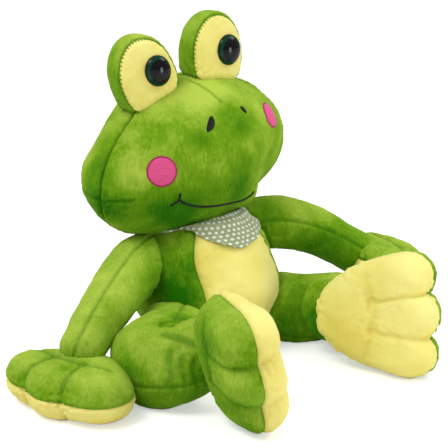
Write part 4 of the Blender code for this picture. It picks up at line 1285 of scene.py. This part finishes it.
# Each patch: its place on the head, then its outline
CHEEKS = {
    "right": ((-0.0665, -0.0599, 0.0097), oval(0.0298, 0.0302)),
    "left": ((0.0735, -0.0497, 0.0211), oval(0.0225, 0.0280, -0.15)),
}
NOSTRILS = {
    "right": ((-0.0078, -0.0639, 0.0393), oval(0.0072, 0.0170, -0.42, 0.0016)),
    "left": ((0.0368, -0.0587, 0.0390), oval(0.0042, 0.0095, 0.55)),
}
for side in SIDES:
    for kind, patches, slot, material, height in (
        ("cheek", CHEEKS, "pink_thread", PINK_THREAD, 0.0013),
        ("nostril", NOSTRILS, "black_thread", BLACK_THREAD, 0.0010),
    ):
        spot, outline = patches[side]
        centre = head_tree.find_nearest(head_place @ Vector(spot))[0]
        embroider("%s_patch_%s" % (kind, side), material, centre, outline, height, kind + "_" + side)


def tube_on_head(name, spots, radius, material):
    """A cord of satin stitches laid along spots of the head."""
    line = dense_line(spots, 0.0012)
    steps = 10
    points = []
    for number, spot in enumerate(line):
        place, normal = head_tree.find_nearest(Vector(spot))[:2]
        before, after = line[max(number - 1, 0)], line[min(number + 1, len(line) - 1)]
        along = Vector(after - before).normalized()
        across = normal.cross(along).normalized()
        near_end = min(number, len(line) - 1 - number) / 3
        wide = radius * min(1.0, 0.35 + 0.65 * near_end)
        for step in range(steps):
            angle = math.tau * step / steps
            offset = across * wide * math.cos(angle) + normal * (wide * 0.75 * math.sin(angle) + wide * 0.25)
            points.append(place + offset)
    ends = [tuple(range(steps))[::-1], tuple(range(len(points) - steps, len(points)))]
    faces = grid_quads(len(line), steps) + ends
    return new_piece(name, points, faces, material, {"rim": np.zeros(len(points))})


def spline(points, count=12):
    """A smooth line through points."""
    out = []
    ends = [points[0], *points, points[-1]]
    for a, b, c, d in zip(ends, ends[1:], ends[2:], ends[3:]):
        a, b, c, d = (np.array(point) for point in (a, b, c, d))
        for step in range(count):
            t = step / count
            out.append(
                0.5
                * (2 * b + (c - a) * t + (2 * a - 5 * b + 4 * c - d) * t**2 + (3 * b - a - 3 * c + d) * t**3)
            )
    return [*out, np.array(points[-1])]


smile = seen(head, spline([(179.5, 200.5), (188, 204.5), (200, 206.5), (214, 206), (228, 203.5), (242, 200),
                           (250, 195.5), (254, 191)]))
mouth = tube_on_head("mouth_line", smile, 0.0012, BLACK_THREAD)
finish_piece(mouth, "head", None, ("mouth",))
tick = seen(head, spline([(169.6, 206), (175, 203), (179.5, 199.5), (180, 193)]))
tick_piece = tube_on_head("mouth_corner", tick, 0.0011, BLACK_THREAD)
finish_piece(tick_piece, "head")


# Bandana
def torso_surface(heading, height):
    """The torso's plain form at a height, in a direction from its front toward its left."""
    wide, ahead, behind, back = torso_ring(height)
    deep = torso_depth(ahead, behind, -math.cos(heading))
    return np.array((wide * math.sin(heading), back + deep, height))


BAND_PIXELS = ((166, 231), (184, 231), (194.5, 231.5), (201, 237.5), (209, 241), (217, 243.5), (230, 247),
               (240.5, 248.5), (247, 245), (254, 238.5), (257, 232), (258, 224))
edge = [seen_point(torso_tree, pixel) for pixel in BAND_PIXELS]
edge = [(math.atan2(spot[0], neck.y - spot[1]), spot[2]) for spot in edge if spot is not None]
BAND_EDGE = [(-math.pi, 0.1150), (-2.2, 0.1170), *edge, (edge[-1][0] + 0.5, 0.1200), (math.pi, 0.1150)]


def band_low(heading):
    """The lower edge of the folded cloth, which drops to a point on the chest."""
    turns, heights = zip(*BAND_EDGE)
    return float(np.interp(heading, turns, heights))


def band_high(heading):
    """The upper edge, which reaches up to the head."""
    height = BAND_LOWEST_TOP
    while height < BAND_HIGHEST_TOP:
        spot = Vector(torso_surface(heading, height))
        near, normal, _, distance = head_tree.find_nearest(spot)
        if (spot - near).dot(normal) < 0 or distance < BAND_HEAD_GAP:
            break
        height += 0.0005
    return height


def cloth_piece(name, points, faces, uvs):
    """A piece of the bandana: points and faces of its outer side, given the cotton's thickness."""
    points = np.array(points)
    normals = points - np.array(neck)
    normals /= np.linalg.norm(normals, axis=1)[:, None]
    solid, all_faces = shell(points, normals, faces, COTTON)
    return new_piece(name, solid, all_faces, BANDANA_COTTON, None, np.array(uvs + uvs))


columns, levels = 260, 26
turns = [math.tau * column / columns - math.pi for column in range(columns)]
tops = np.array([band_high(heading) for heading in turns])
tops = sum(np.roll(tops, step) for step in range(-5, 6)) / 11
points, uvs = [], []
for heading, high in zip(turns, tops):
    low = band_low(heading)
    for level in range(levels):
        share = level / (levels - 1)
        height = high + (low - high) * share
        base = torso_surface(heading, height)
        outward = base - np.array((0, neck.y, neck.z))
        outward /= np.linalg.norm(outward)
        ripple = 0.0009 * math.sin(heading * 9 + share * 4) + 0.0007 * math.sin(heading * 17 - share * 6)
        fold = 0.0022 * math.exp(-(((share - 0.22) / 0.10) ** 2))
        points.append(base + outward * (BAND_OUT + (ripple + 0.0011) * (0.4 + 0.6 * share) + fold))
        uvs.append((heading * 0.045, height * 1.6))
bandana = cloth_piece("bandana_sheet", points, grid_quads(columns, levels, 0, False, True), uvs)
finish_piece(bandana, "torso", None, ("bandana",))


def grown_tail(out):
    """One tail of the knot, lying down the back."""
    aside, level = out * math.sin(TAIL_SPREAD), math.cos(TAIL_SPREAD)
    down, across = Vector((aside, 0, -level)), Vector((level, 0, aside))
    rows, width = 22, 9
    points, uvs = [], []
    for row in range(rows):
        share = row / (rows - 1)
        half = TAIL_ROOT + TAIL_WIDEN * share**0.8
        for step in range(width):
            side_share = 2 * step / (width - 1) - 1
            spot = UP * KNOT_HEIGHT + down * (0.004 + TAIL_LENGTH * share) + across * half * side_share
            spot -= UP * 0.004 * share * abs(side_share - 0.4 * out)
            heading = math.pi - spot.x / NECK_ROUND
            base = Vector(torso_surface(heading, spot.z))
            outward = (base - neck).normalized()
            pleat = 0.0012 * math.sin(side_share * 5.0 + share * 2) + 0.0010
            points.append(np.array(base + outward * (0.0025 + pleat + 0.003 * (1 - share))))
            uvs.append((side_share * half, 0.05 * share))
    faces = [face[::-out] for face in grid_quads(rows, width, 0, True, True)]
    piece = cloth_piece("bandana_tail_" + ("right" if out < 0 else "left"), points, faces, uvs)
    return finish_piece(piece, "torso")


tails = [grown_tail(out) for out in (-1, 1)]
climb, round_ = turned(34, 56)
lump = np.stack([np.sin(climb) * np.cos(round_), np.sin(climb) * np.sin(round_), -np.cos(climb)], -1)
lump *= np.array(KNOT_SIZE) / 2
knot_place = Vector(torso_surface(math.pi, KNOT_HEIGHT)) + Vector((0, KNOT_OUT, 0))
knot = Form(lump, Matrix.Translation(knot_place))
knot.push(0.0011 * np.sin(18 * rough(knot.points, 0.03) + knot.points[:, 0] * 500))
knot_piece = new_piece("bandana_knot_lump", knot.points, knot.faces, BANDANA_COTTON, None,
                       np.stack([knot.points[:, 0], knot.points[:, 2]], -1))
finish_piece(knot_piece, "torso", None, ("bandana_knot",))


# Floor, light and camera
def backdrop_material():
    """A plain pale floor that the camera sees as white, with the object's shadow kept."""
    material, tree, shader = new_material("studio_floor")
    place = place_of(tree)
    speckle = cloud(tree, place, 60, 2.0)
    colour = mixed(tree, speckle, (0.86, 0.86, 0.86, 1), (0.90, 0.90, 0.90, 1))
    path = tree.nodes.new("ShaderNodeLightPath").outputs
    watched = maths(tree, "MAXIMUM", path["Is Camera Ray"], path["Is Glossy Ray"])
    watched = maths(tree, "MAXIMUM", watched, path["Is Transmission Ray"])
    glow = {"Emission Color": (1, 1, 1, 1), "Emission Strength": maths(tree, "MULTIPLY", watched, FLOOR_GLOW)}
    roughness = between(tree, speckle, 0.3, 0.7, 0.8, 0.9)
    plug_all(tree, shader, {"Base Color": colour, "Roughness": roughness, **glow})
    return material


floor_mesh = bpy.data.meshes.new("studio_floor")
corners = [(x * FLOOR_HALF, y * FLOOR_HALF, 0) for x, y in ((-1, -1), (1, -1), (1, 1), (-1, 1))]
floor_mesh.from_pydata(corners, [], [(0, 1, 2, 3)])
floor_mesh.materials.append(backdrop_material())
put("studio_floor", floor_mesh)

world = bpy.data.worlds.new("studio")
world.use_nodes = True
sky = world.node_tree
sky.nodes["Background"].inputs["Color"].default_value = (1, 1, 1, 1)
seen_by = sky.nodes.new("ShaderNodeLightPath").outputs["Is Camera Ray"]
parts = sky.nodes.new("ShaderNodeSeparateXYZ")
plug(sky, parts.inputs[0], sky.nodes.new("ShaderNodeTexCoord").outputs["Generated"])
glow = between(sky, parts.outputs["Z"], -0.2, 0.9, 0.34, 0.70)
plug(sky, sky.nodes["Background"].inputs["Strength"], between(sky, seen_by, 0, 1, glow, 1.0))
bpy.context.scene.world = world


def add_light(name, place, size, power, aim=CAMERA_AIM):
    light = bpy.data.lights.new(name, "AREA")
    light.shape = "RECTANGLE"
    light.size, light.size_y = size
    light.energy = power
    item = put(name, light)
    item.location = place
    item.rotation_euler = (Vector(place) - aim).to_track_quat("Z", "Y").to_euler()


add_light("key_light", CAMERA_AIM + BACKWARD * 0.6 - RIGHTWARD * 0.7 + UP * 1.1, (0.7, 0.7), 11)
add_light("fill_light", Vector((0.90, -0.50, 1.15)), (0.7, 0.5), 5)
add_light("window_light", Vector((0.40, -1.05, 0.22)), (0.24, 0.32), 2.2)

camera_data = bpy.data.cameras.new("camera")
camera_data.sensor_width = SENSOR
camera_data.lens = SENSOR * FOCAL_PIXELS / IMAGE_PIXELS
camera = put("camera", camera_data)
camera.location = CAMERA_PLACE
camera.rotation_euler = BACKWARD.to_track_quat("Z", "Y").to_euler()
bpy.context.scene.camera = camera
bpy.context.scene.view_settings.view_transform = "Standard"
